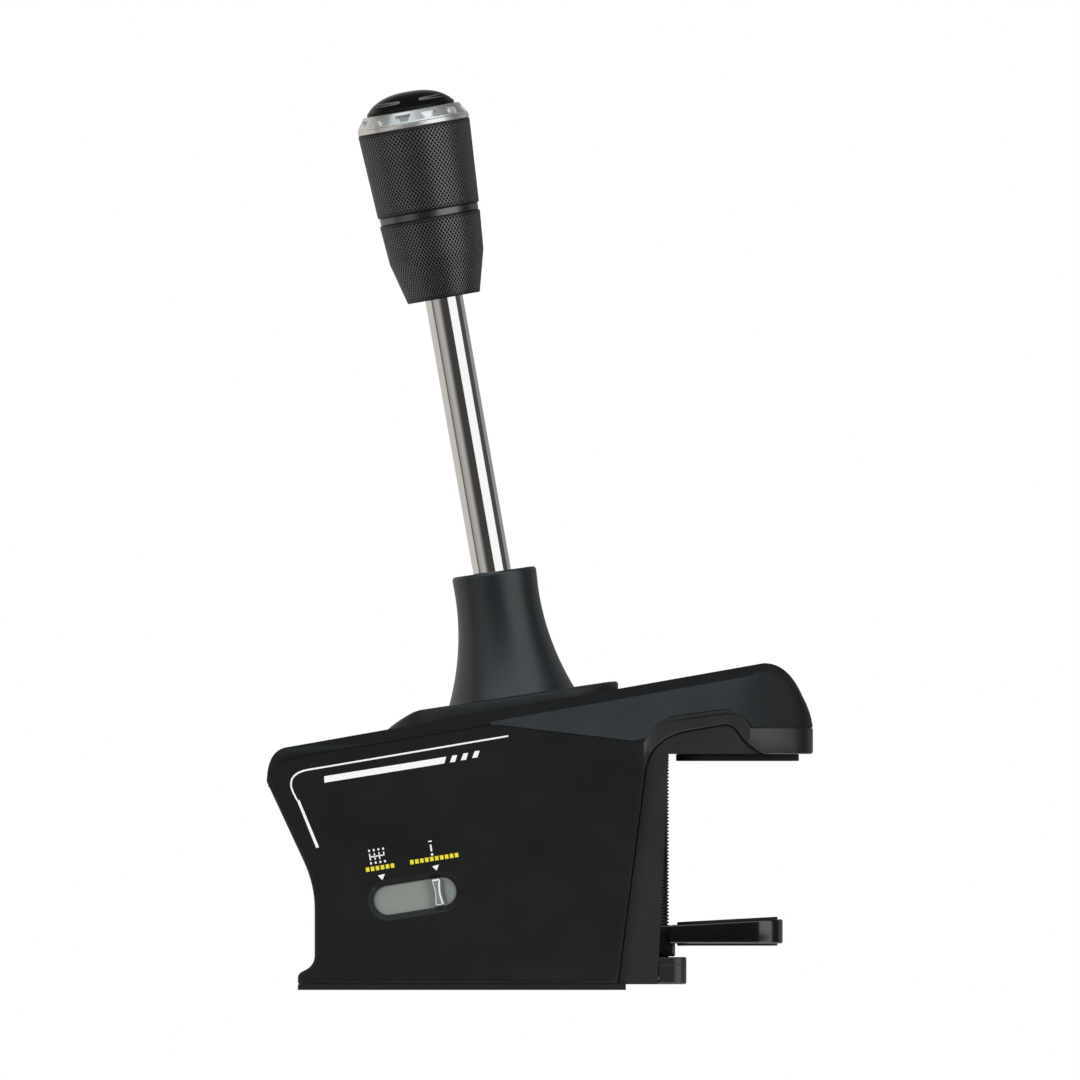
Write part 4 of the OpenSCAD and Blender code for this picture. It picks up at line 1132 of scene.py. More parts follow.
    def tongue_rows(self) -> list[list[Point]]:
        """Lays out the lip behind the joint, which shuts the gap to light.

        Returns:
            Rows of points.
        """
        shape = self.shape
        inset, corner = self.tongue_inset, shape.side_corner()
        path = [(shape.front_x(shape.front_seam()) + inset, y - shape.half, shape.front_seam())
                for y in (shape.half, shape.half / 2, shape.corner)]
        path.append((corner[0], inset - shape.half, corner[1]))
        inner = [p for p in shape.seam_line() if corner[0] + 0.5 < p[0] < shape.hood_turn_x - 0.5]
        path += [(x, inset - shape.half, z) for x, z in inner]
        for i in range(self.tongue_steps + 1):
            t = i / self.tongue_steps
            x, deep = shape.hood_point(t)
            path.append((x - inset * sqrt(t), deep + inset - shape.half, shape.skirt_top))
        path.append((shape.hood_reach - inset, 0.0, shape.skirt_top))
        around = path + [(x, -y, z) for x, y, z in path[-2:0:-1]]
        return [[(x, y, z + lift) for x, y, z in around] for lift in (-self.tongue, self.tongue)]

    def window_tool(self) -> Piece:
        """Makes the stepped plug that opens the bevelled switch window.

        Returns:
            The plug.
        """
        long, high = self.window_size
        bevel, over = self.window_bevel, self.window_over
        rings = []
        for grow, depth in ((0.0, -self.window_deep), (0.0, -bevel), (bevel + over, over)):
            ring = rounded(long + 2 * grow, high + 2 * grow, high / 2 + grow, 12)
            rings.append([self.on_window(p, depth) for p in ring])
        return Skin().solid(rings).build("window_tool")

    def on_window(self, at: Flat, out: float) -> Point:
        """Point given along, across and out of the switch window."""
        x, z = spin(at, self.window_tilt)
        return (self.window[0] + x, -self.shape.half - out, self.window[1] + z)

    def on_lit_bevel(self, face: Face) -> bool:
        """Tells the lower, lit bevel of the switch window from the rest; those faces wear a painted
        highlight.

        Args:
            face: Face of the housing.

        Returns:
            Whether it is on that bevel.
        """
        reach = max(self.window_size) / 2 + 2 * self.window_bevel
        middle = Vector(self.on_window((0.0, 0.0), 0.0)) * MM
        near = (face.center - middle).length < reach * MM
        leaning = self.bevel_facing[0] < -face.normal.y < self.bevel_facing[1]
        lit = face.normal.x > self.bevel_lit[0 if face.normal.z > 0.0 else 1]
        return near and leaning and lit

    def build(self) -> None:
        """Builds and dresses the housing."""
        panels = Skin().rows(self.panel_rows()).build("housing_panels", wall=self.shape.wall)
        ring, (x, z) = rounded(*self.usb_size, self.usb_corner, 6), self.usb_at
        hole = plug(ring, lambda p, h: (x + p[0], h, z + p[1]), *self.usb_depth)
        cut(panels, self.window_tool(), hole)
        place(panels, "base", "housing_plastic", Wear.HOUSING, "main_housing")
        # The lower, lit bevel of the switch window wears a lighter copy of the plastic: a painted highlight.
        two_tone(panels, Wear.WINDOW, self.on_lit_bevel)
        band = self.band_rows()
        for name, side in (("arch_band_near", 1.0), ("arch_band_far", -1.0)):
            rows = [[(x, side * y, z) for x, y, z in row] for row in band]
            piece = Skin().solid(rows).build(name, sharp=20.0)
            # The band wears a lighter copy of the housing's plastic: a painted highlight.
            place(piece, "base", "housing_plastic", Wear.BAND_PLASTIC)
            # A near-black strip along the gap to the clamp's arm: a painted shadow.
            rows = [[(x, side * y, z) for x, y, z in row] for row in self.gasket_rows()]
            gasket = Skin().solid(rows).build(name.replace("band", "gasket"), sharp=40.0)
            place(gasket, "base", "housing_plastic", Wear.GASKET)
        skirt = Skin().rows(self.skirt_rows()).build("hood_skirt", sharp=30.0, wall=self.shape.wall)
        # The skirt wears a lighter copy of the housing's plastic: a painted highlight.
        place(skirt, "base", "housing_plastic", Wear.SKIRT)
        tongue = Skin().rows(self.tongue_rows(), closed=True).build("seam_tongue", wall=self.tongue_wall)
        place(tongue, "base", "housing_plastic", Wear.HOUSING)


@dataclass
class LeverAxes:
    """The lever's own directions: along it, and across it fore and aft."""

    pivot: Flat = (-1.7, 63.0)
    tilt: float = 10.0

    def at(self, p: Point) -> Point:
        """Point given in the lever's directions, from its pivot."""
        x, z = spin((p[0], p[2]), self.tilt)
        return (self.pivot[0] + x, p[1], self.pivot[1] + z)


@dataclass
class Cover:
    """Top cover, from the brow over the flat top to the nose of the hood."""

    shape: BodyShape
    axes: LeverAxes
    row_clear: float = 0.3
    bevel: float = 4.0
    edge: float = 5.0
    gap: float = 0.35
    top_steps: int = 40
    widen_steps: int = 6
    flatten_steps: int = 8
    side_steps: int = 4
    facet_turn: float = 44.0
    bevel_steps: Line = ((0.0, 0.0), (0.03, 0.02), (0.09, 0.08), (0.3, 0.29), (0.52, 0.51),
                                     (0.74, 0.73), (0.93, 0.9), (1.0, 1.0))
    opening: Flat = (68.0, 63.0)
    opening_corner: float = 27.0
    opening_at: float = 44.0
    opening_deep: float = 25.0

    def stations(self) -> list[tuple[Flat, Flat, float, float]]:
        """Places along the side view.

        Returns:
            For each, the crown's point, the point where the side face begins, the width of the edge between
            them, and how much that edge is a flat bevel rather than a rounding.
        """
        shape = self.shape
        start = shape.front_seam() + self.gap
        brow = [p for p in shape.brow() if p[1] > start + self.row_clear]
        brow = [(shape.front_x(start), start)] + brow
        nose = shape.nose()
        slope = radians(shape.top_slope)
        drop = (self.bevel * sin(slope), -self.bevel * cos(slope))
        corner = shape.side_corner()
        first = (corner[0], corner[1] + self.gap)
        brow_end = (brow[-1][0] + drop[0], brow[-1][1] + drop[1])
        made = [(p, lerp(first, brow_end, i / (len(brow) - 1)), shape.corner, 0.0)
                for i, p in enumerate(brow)]
        for i, p in enumerate(run(brow[-1], nose[0], self.top_steps)[1:], start=1):
            wide = shape.corner + (self.edge - shape.corner) * smooth(i / self.widen_steps)
            made.append((p, (p[0] + drop[0], p[1] + drop[1]), wide, smooth(i / self.flatten_steps)))
        nose_side = made[-1][1]
        low = (shape.hood_reach - shape.nose_corner, shape.skirt_top + self.gap)
        for i, p in enumerate(nose[1:], start=1):
            t = i / (len(nose) - 1)
            lift = self.gap if t == 1.0 else 0.0
            wide = self.edge + (shape.nose_corner - self.edge) * smooth(t)
            made.append(((p[0], p[1] + lift), lerp(nose_side, low, t), wide, 1.0 - smooth(2.0 * t)))
        return made

    def row(self, crown: Flat, shoulder: Flat, wide: float, flat_edge: float) -> list[Point]:
        """Section of the cover at one station.

        Args:
            crown: Point of the side view along the middle.
            shoulder: Point where the side face begins.
            wide: Width of the edge between them.
            flat_edge: How much that edge is a flat bevel.

        Returns:
            Points from the seam on one side to the seam on the other.
        """
        shape = self.shape
        foot = (shoulder[0], min(shape.seam(shoulder[0]) + self.gap, shoulder[1]))
        upright = run(foot, shoulder, self.side_steps)[:-1]
        side = [(x, -shape.half, z) for x, z in upright]
        for i, bevel in enumerate(self.bevel_steps):
            turn = pi / 2 * i / (len(self.bevel_steps) - 1)
            up, inwards = lerp((sin(turn), 1.0 - cos(turn)), bevel, flat_edge)
            x, z = lerp(shoulder, crown, up)
            side.append((x, -shape.half + wide * inwards, z))
        side = [(x, max(y, shape.hood_inset(x) - shape.half), z) for x, y, z in side]
        flat = -side[-1][1]
        middle = [(crown[0], flat * t / 5, crown[1]) for t in range(-4, 5)]
        return side + middle + [(x, -y, z) for x, y, z in side[::-1]]

    def on_facet(self, face: Face) -> bool:
        """Whether a face belongs to the smooth upright side between seam and bevel."""
        upright = abs(face.normal.y) > cos(radians(self.facet_turn))
        return upright and face.center.x > self.shape.seam_crest[0] * MM

    def build(self) -> None:
        """Builds and dresses the cover."""
        rows = [self.row(*station) for station in self.stations()]
        cover = Skin().rows(rows).build("top_shell", wall=self.shape.wall)
        ring = rounded(*self.opening, self.opening_corner, 8)
        low, high = self.opening_at - self.opening_deep, self.opening_at + self.opening_deep
        cut(cover, plug(ring, lambda p, h: self.axes.at((p[0], p[1], h)), low, high))
        place(cover, "base", "housing_plastic", Wear.COVER, "top_cover")
        # The upright side of the cover gets the lighter copy of its plastic: a painted reflection.
        two_tone(cover, Wear.FACET, self.on_facet)


@dataclass
class Bezel:
    """Plate round the lever's opening, with a low lip."""

    shape: BodyShape
    axes: LeverAxes
    front: float = -56.8
    crest: float = -46.1
    rear: float = 28.7
    rise: float = 5.0
    tilt: float = 8.5
    width: float = 76.0
    corner: float = 24.0
    opening: Flat = (66.0, 61.0)
    opening_corner: float = 27.0
    opening_at: float = 44.0
    nose_bend: Flat = (4.8, 2.2)
    lip: float = 0.15
    sunk: Flat = (0.6, 2.0)
    film: float = 0.02
    edge_steps: Line = ((0.0, 1.1), (0.3, 0.45), (0.8, 0.12))
    flat_from: float = 1.4
    lip_steps: Line = ((3.4, 0.0), (3.1, 0.35), (2.7, 0.85), (2.2, 1.0), (0.8, 1.0), (0.25, 0.7),
                                   (0.0, 0.0))

    def top(self, x: float) -> float:
        """Height of the plate's face.

        Args:
            x: Place along the plate.

        Returns:
            Height there.
        """
        crest_z = self.shape.top(self.crest) + self.rise
        if x >= self.crest:
            return crest_z + (x - self.crest) * tan(radians(self.tilt))
        bend = (self.crest - self.nose_bend[0], crest_z - self.nose_bend[1])
        return lookup(curve((self.front, self.shape.top(self.front)), bend, (self.crest, crest_z), 12), x)

    def build(self) -> None:
        """Builds and dresses the plate."""
        middle = (self.front + self.rear) / 2
        long = self.rear - self.front
        lean = radians(self.axes.tilt)
        hole_x = self.axes.pivot[0] - self.opening_at * sin(lean)
        hole = (self.opening[0] * cos(lean), self.opening[1])

        def outer(inset: float, height: Height) -> list[Point]:
            """Ring round the outside, drawn in by inset."""
            ring = rounded(long - 2 * inset, self.width - 2 * inset, self.corner - inset, 16)
            return [(middle + x, y, height(middle + x)) for x, y in ring]

        def inner(grow: float, height: Height) -> list[Point]:
            """Ring round the opening, widened by grow."""
            ring = rounded(hole[0] + 2 * grow, hole[1] + 2 * grow, self.opening_corner + grow, 16)
            return [(hole_x + x, y, height(hole_x + x)) for x, y in ring]

        top, base = self.top, self.shape.top
        rings = [outer(0.0, lambda x: base(x) - self.sunk[0])]
        rings += [outer(inset, lambda x, drop=drop: max(base(x) + self.film, top(x) - drop))
                  for inset, drop in self.edge_steps]
        rings.append(outer(self.flat_from, top))
        rings += [inner(grow, lambda x, share=share: top(x) + self.lip * share)
                  for grow, share in self.lip_steps]
        rings.append(inner(0.0, lambda x: base(x) - self.sunk[1]))
        plate = Skin().rows(rings + rings[:1], closed=True).build("lever_bezel", sharp=40.0)
        place(plate, "base", "housing_plastic", Wear.BEZEL, "bezel_plate")


@dataclass
class Lever:
    """Bright shaft and the trumpet-shaped shroud round its foot."""

    axes: LeverAxes
    shaft_r: float = 7.0
    shaft_low: float = 8.0
    shaft_top: float = 236.0
    shaft_chamfer: float = 0.8
    shaft_rings: int = 20
    shroud_h: float = 47.0
    shroud_seat: float = 46.2
    shroud_tilt: float = 8.2
    shroud_shift: float = 0.6
    shroud_top_r: float = 15.65
    shroud_low_r: float = 23.6
    shroud_neck: float = 8.0
    shroud_rim: float = 1.5
    shroud_wall: float = 2.0
    shroud_bore: Line = ((0.9, -1.2), (1.4, -0.35), (2.1, 0.0))
    neck_inset: float = 0.2
    flare_bend: float = 0.6
    skirt_r: float = 21.9
    skirt_wall: float = 2.5
    skirt_chamfer: float = 0.5
    skirt_low: float = 35.4
    skirt_high: float = 47.0

    def in_shroud(self, p: Point) -> Point:
        """Sets a point of the shroud in its place.

        Args:
            p: Point from the middle of the collar's top, along the shroud's axis.

        Returns:
            Point of the whole object.
        """
        lean = radians(self.axes.tilt)
        top = self.axes.pivot[1] + (self.shroud_h + self.shroud_seat) * cos(lean)
        middle = self.axes.pivot[0] - (top - self.axes.pivot[1]) * tan(lean) + self.shroud_shift
        x, z = spin((p[0], p[2]), self.shroud_tilt)
        return (middle + x, p[1], top + z)

    def build_shaft(self) -> None:
        """Builds and dresses the shaft, with a chamfer at each end."""
        r, ease, low, high = self.shaft_r, self.shaft_chamfer, self.shaft_low, self.shaft_top
        side = run((r, low + ease), (r, high - ease), self.shaft_rings)
        profile = [(0.0, low), (r - ease, low), *side, (r - ease, high), (0.0, high)]
        shaft = Skin().turned(profile, ROUND, self.axes.at).build("bright_shaft")
        place(shaft, "lever", "polished_steel", Wear.SHAFT, "lever_shaft")

    def build_shroud(self) -> None:
        """Builds and dresses the shroud and the skirt that stands on the dust dome."""
        r, rim, neck, low = self.shroud_top_r, self.shroud_rim, -self.shroud_neck, -self.shroud_h
        mouth = [(self.shaft_r + out, z) for out, z in self.shroud_bore]
        bore = mouth[0][0]
        waist = r - self.neck_inset
        flare = curve((waist, neck), (waist, self.flare_bend * low), (self.shroud_low_r, low), 22)
        wall = [(x - self.shroud_wall, z) for x, z in flare[::-1]]
        outside = chain(mouth, curve((r - rim, 0.0), (r, 0.0), (r, -rim), 6), flare)
        inside = chain(wall, [(r - self.shroud_wall, neck), (bore, neck), mouth[0]])
        shroud = Skin().turned(outside + inside, ROUND, self.in_shroud).build("lever_trumpet")
        place(shroud, "lever", "shroud_plastic", Wear.SHROUD, "lever_shroud")
        s, t, ease = self.skirt_r, self.skirt_wall, self.skirt_chamfer
        ring = [(s, self.skirt_high), (s, self.skirt_low + ease), (s - ease, self.skirt_low),
                (s - t, self.skirt_low), (s - t, self.skirt_high), (s, self.skirt_high)]
        skirt = Skin().turned(ring, ROUND, self.axes.at).build("shroud_skirt")
        place(skirt, "lever", "shroud_plastic", Wear.SHROUD)


@dataclass
class Knob:
    """Knurled sleeve with its smooth band, faceted ring and domed cap."""

    axes: LeverAxes
    low: float = 196.0
    length: float = 64.2
    radii: Line = ((0.0, 13.5), (15.6, 17.6), (30.1, 18.8), (64.2, 20.9))
    band: Flat = (30.1, 32.9)
    band_depth: float = 0.5
    band_ease: float = 0.25
    band_cone: float = 0.1
    wall: float = 2.0
    diamonds: int = 84
    diamond_height: float = 1.9
    knurl_depth: float = 0.5
    bar_share: float = 0.24
    rim: float = 0.45
    rim_ease: float = 0.15
    rim_bands: int = 5
    ring_r: float = 20.8
    ring_lip: float = 2.0
    ring_height: float = 6.4
    ring_top_r: float = 17.9
    pockets: int = 12
    pocket_turn: float = 19.5
    pocket_low: float = 2.5
    pocket_high: float = 5.1
    pocket_low_half: float = 5.2
    pocket_high_half: float = 9.6
    pocket_depth: float = 1.5
    pocket_columns: tuple[float, ...] = (-1.0, -0.34, 0.34, 1.0)
    land_columns: tuple[float, ...] = (-0.3, 0.0, 0.3)
    land_share: float = 0.9
    floor_inset: float = 0.8
    floor_lift: float = 0.15
    ring_gap: float = 0.2
    lip_chamfer: float = 0.35
    lip_step: Flat = (0.25, 0.3)
    crown_ease: Flat = (0.4, 0.3)
    cap_r: float = 16.4
    cap_side: float = 6.9
    cap_dome: float = 6.5
    dome_swell: float = 2.5
    dome_fall: float = 0.75
    mark_out: Flat = (3.6, 13.0)
    mark_height: float = 3.5
    mark_width: float = 1.1
    mark_steps: int = 12
    mark_end: float = 0.35
    mark_round: float = 1.6
    mark_proud: Flat = (-0.2, 0.05)
    cap_ease: float = 0.5
    crown_drop: float = 0.1

    def at(self, p: Point) -> Point:
        """Point given from the middle of the sleeve's lower end."""
        return self.axes.at((p[0], p[1], self.low + p[2]))

    def on_ring(self, radius: float, turn: float, height: float) -> Point:
        """Point given by radius, degrees from the side with the switch, and height over the sleeve."""
        a = radians(turn - 90.0)
        return self.at((radius * cos(a), radius * sin(a), self.length + height))

    def radius(self, z: float) -> float:
        """Outer radius of the sleeve."""
        return lookup(self.radii, z)

    def knurl(self, start: float, end: float) -> Skin:
        """One length of diamond knurl between two plain rims.

        Args:
            start: Lower end.
            end: Upper end.

        Returns:
            Closed tube whose outside is crossed by fine bars with a sunk diamond between them.
        """
        skin = Skin()
        half_rows = 2 * round((end - start - 2 * self.rim) / self.diamond_height)
        step = (end - start - 2 * self.rim) / half_rows
        around = 2 * self.diamonds

        def node(row: float, k: float, sunk: float = 0.0) -> Point:
            """Point of the sleeve's face, counted in half diamonds.

            Args:
                row: Place up the face.
                k: Place round it.
                sunk: Depth under the face.

            Returns:
                Point of the whole object.
            """
            z = start + self.rim + step * row
            a = 2 * pi * k / around
            r = self.radius(z) - sunk
            return self.at((r * cos(a), r * sin(a), z))

        def ring(z: float, inset: float) -> list[Point]:
            """Plain ring at one end."""
            return [self.at((x, y, z)) for x, y in circle(self.radius(z) - inset, around)]

        skin.points += [node(row, k) for row in range(half_rows + 1) for k in range(around)]
        for row in range(half_rows + 1):
            for k in range(row % 2, around, 2):
                left, right = row * around + (k - 1) % around, row * around + (k + 1) % around
                low, high, middle = (row - 1) * around + k, (row + 1) * around + k, row * around + k
                if row == 0:
                    skin.faces += [(left, middle, high), (middle, right, high)]
                elif row == half_rows:
                    skin.faces += [(middle, left, low), (right, middle, low)]
                else:
                    first = len(skin.points)
                    share = 1.0 - self.bar_share
                    skin.points += [node(row, k - share), node(row - share, k), node(row, k + share),
                                    node(row + share, k), node(row, k, self.knurl_depth)]
                    corners = (left, low, right, high)
                    for i in range(4):
                        j = (i + 1) % 4
                        skin.faces.append((corners[i], corners[j], first + j, first + i))
                        skin.faces.append((first + i, first + j, first + 4))
        last = half_rows * around
        ends = []
        for z, inset in ((start, self.rim_ease), (start, self.wall), (end, self.wall), (end, self.rim_ease)):
            ends.append(len(skin.points))
            skin.points += ring(z, inset)
        a, b, c, d = ends
        for low, high in ((a, 0), (last, d), (d, c), (c, b), (b, a)):
            for k in range(around):
                n = (k + 1) % around
                skin.faces.append((low + k, low + n, high + n, high + k))
        return skin

    def build_sleeve(self) -> None:
        """Builds and dresses both lengths of knurl and the band between them."""
        low, high = self.band
        for name, start, end, nodes in (("knob_grip_lower", 0.0, low, ["knob_sleeve"]),
                                        ("knob_grip_upper", high, self.length, [])):
            grip = self.knurl(start, end).build(name, sharp=8.0)
            place(grip, "lever", "knob_aluminium", Wear.KNURL, *nodes)
            rims = len(grip.data.polygons) - self.rim_bands * 2 * self.diamonds
            # Pits and end rims take the near-black metal: painted shade against the lighter bars.
            two_tone(grip, Wear.PITS, lambda face: len(face.vertices) == 3 or face.index >= rims)
        r, inner = self.radius(low) - self.band_depth, self.radius(low) - self.wall
        ease, cone = self.band_ease, self.band_cone
        ring = [(r - ease, low), (r, low + ease), (r + cone / 2, (low + high) / 2), (r + cone, high - ease),
                (r - ease, high), (inner, high), (inner, low), (r - ease, low)]
        band = Skin().turned(ring, ROUND, self.at).build("knob_band")
        place(band, "lever", "knob_aluminium", Wear.BAND)

    def ring_radius(self, z: float) -> float:
        """Outer radius of the ring's sloping face."""
        return lookup([(self.ring_lip, self.ring_r), (self.ring_height, self.ring_top_r)], z)

    def build_ring(self) -> None:
        """Builds and dresses the bright ring with its pockets.

        Each pocket is a flat-floored notch in the sloping face, wider at its top.
        """
        skin = Skin()
        pitch = 360.0 / self.pockets
        low, high = self.pocket_low, self.pocket_high
        inner, r, step = self.cap_r + self.ring_gap, self.ring_r, self.lip_step
        lip = [(inner, 0.0), (r - self.lip_chamfer, 0.0), (r, self.lip_chamfer),
               (r, self.ring_lip - step[1]), (r - step[0], self.ring_lip)]
        turns = []
        for i in range(self.pockets):
            middle = self.pocket_turn + pitch * i
            turns += [(middle, s) for s in self.pocket_columns]
            turns += [(middle + pitch / 2, s) for s in self.land_columns]

        def angle(turn: tuple[float, float], share: float) -> float:
            """Degrees of one column of points.

            Args:
                turn: Middle of its pocket or land, and its place across that.
                share: How far the pocket's edge has climbed.

            Returns:
                Degrees from the side with the switch.
            """
            middle, side = turn
            pocket = abs((middle - self.pocket_turn) / pitch % 1.0 - 0.5) > 0.25
            half = self.pocket_low_half + (self.pocket_high_half - self.pocket_low_half) * share
            return middle + side * (half if pocket else (pitch / 2 - half) * self.land_share)

        crown, edge = self.ring_height, self.ring_height - self.crown_ease[1]
        levels = [(r, h, 0.0) for r, h in lip]
        levels += [(self.ring_radius(low), low, 0.0), (self.ring_radius(high), high, 1.0),
                   (self.ring_radius(edge), edge, 1.0), (self.ring_top_r - self.crown_ease[0], crown, 1.0),
                   (inner, crown, 1.0)]
        rings = [[self.on_ring(r, angle(t, share), h) for t in turns] for r, h, share in levels]
        skin.rows(rings + rings[:1], closed=True)
        foot, head = len(lip) * len(turns), (len(lip) + 1) * len(turns)
        count = len(self.pocket_columns)
        holes = set()
        for i in range(self.pockets):
            first = (count + len(self.land_columns)) * i
            columns = range(first, first + count)
            holes |= {(foot + c, foot + c + 1) for c in columns[:-1]}
            rim = [foot + c for c in columns] + [head + c for c in columns[::-1]]
            middle = self.pocket_turn + pitch * i
            start = len(skin.points)
            floor = self.ring_radius(high) - self.pocket_depth
            for h, lift, half, sides in ((low, self.floor_lift, self.pocket_low_half, (-1, 1)),
                                         (high, 0.0, self.pocket_high_half, (1, -1))):
                skin.points += [self.on_ring(floor, middle + side * (half - self.floor_inset), h + lift)
                                for side in sides]
            a, b, c, d = range(start, start + 4)
            skin.faces += [(a, b, c, d), (rim[0], rim[1], rim[2], rim[3], b, a), (rim[3], rim[4], c, b),
                           (rim[4], rim[5], rim[6], rim[7], d, c), (rim[7], rim[0], a, d)]
        skin.faces = [f for f in skin.faces if not (len(f) == 4 and (f[0], f[1]) in holes)]
        ring = skin.build("knob_bezel", sharp=12.0)
        place(ring, "lever", "bright_chrome", Wear.CHROME, "knob_ring")

    def dome(self, r: float) -> float:
        """Height of the dome over the sleeve at a radius."""
        share = min(1.0, r / self.cap_r)
        return self.cap_side + self.cap_dome * (1.0 - share ** self.dome_swell) ** self.dome_fall

    def build_cap(self) -> None:
        """Builds and dresses the cap and the short printed bars on its dome."""
        r, low, edge = self.cap_r, self.cap_side - self.cap_ease, self.cap_r - self.cap_ease
        profile = [(0.0, 0.0), (r, 0.0)]
        profile += curve((r, low), (r, self.dome(edge) - self.crown_drop), (edge, self.dome(edge)), 5)
        profile += [(x, self.dome(x)) for x in (edge * (1 - i / 16) for i in range(1, 17))]
        cap = Skin().turned(profile, ROUND, lambda p: self.at((p[0], p[1], p[2] + self.length)))
        place(cap.build("knob_dome"), "lever", "gloss_black", Wear.CAP, "knob_cap")
        bars = Skin()
        level, (sunk, proud) = self.ring_height + self.mark_height, self.mark_proud
        for side in (-1, 1):
            for facing in (-1, 1):
                rows = []
                for i in range(self.mark_steps + 1):
                    out = self.mark_out[0] + (self.mark_out[1] - self.mark_out[0]) * i / self.mark_steps
                    end = (min(i, self.mark_steps - i) + self.mark_end) / self.mark_round
                    half = self.mark_width / 2 * sqrt(1.0 - (1.0 - min(1.0, end)) ** 2)
                    low, high = level - half, level + half
                    rows.append([self.on_dome(side * out, facing, h, lift)
                                 for h, lift in ((low, proud), (high, proud), (high, sunk), (low, sunk))])
                bars.solid(rows)
        marks = bars.build("cap_bars")
        place(marks, "lever", "gloss_black", Wear.GREY_INK)

    def on_dome(self, across: float, facing: int, height: float, proud: float) -> Point:
        """Point on the dome.

        Args:
            across: Offset along the gate.
            facing: Side of the dome, -1 or 1.
            height: Height over the sleeve.
            proud: Distance out of the dome.

        Returns:
            Point of the whole object.
        """
        rise = min(1.0, max(0.0, (height - self.cap_side) / self.cap_dome))
        r = self.cap_r * (1.0 - rise ** (1.0 / self.dome_fall)) ** (1.0 / self.dome_swell) + proud
        reach = sqrt(max(r ** 2 - across ** 2, 0.0))
        return self.at((across, facing * reach, self.length + height))

    def build(self) -> None:
        """Builds the whole knob."""
        self.build_sleeve()
        self.build_ring()
        self.build_cap()


def tab_outline(start: float, reach: float, half: float, radius: float) -> list[Flat]:
    """Outline in plan of a plate with one square and one rounded end.

    Args:
        start: Square end.
        reach: Rounded end.
        half: Half the width.
        radius: Corner radius.

    Returns:
        Points round the plate.
    """
    side = run((start, -half), (reach - radius, -half), 6)
    arc = [(reach - radius + radius * sin(a), radius - half - radius * cos(a))
           for a in (pi / 2 * i / 16 for i in range(1, 17))]
    near = side + arc
    return near + [(x, -y) for x, y in near[::-1]]


def eased(width: float) -> list[Flat]:
    """Rounding of an edge as (drawn in, along) steps, from the end face to the side."""
    return [(width * (1.0 - sin(a)), width * (1.0 - cos(a)))
            for a in (pi / 2 * i / 4 for i in range(5))]


def eased_levels(low: float, high: float, under: float, over: float) -> list[Flat]:
    """Steps of (drawn in, height) up a form with roundings of two widths under and over it."""
    return [(e, low + a) for e, a in eased(under)] + [(e, high - a) for e, a in eased(over)[::-1]]


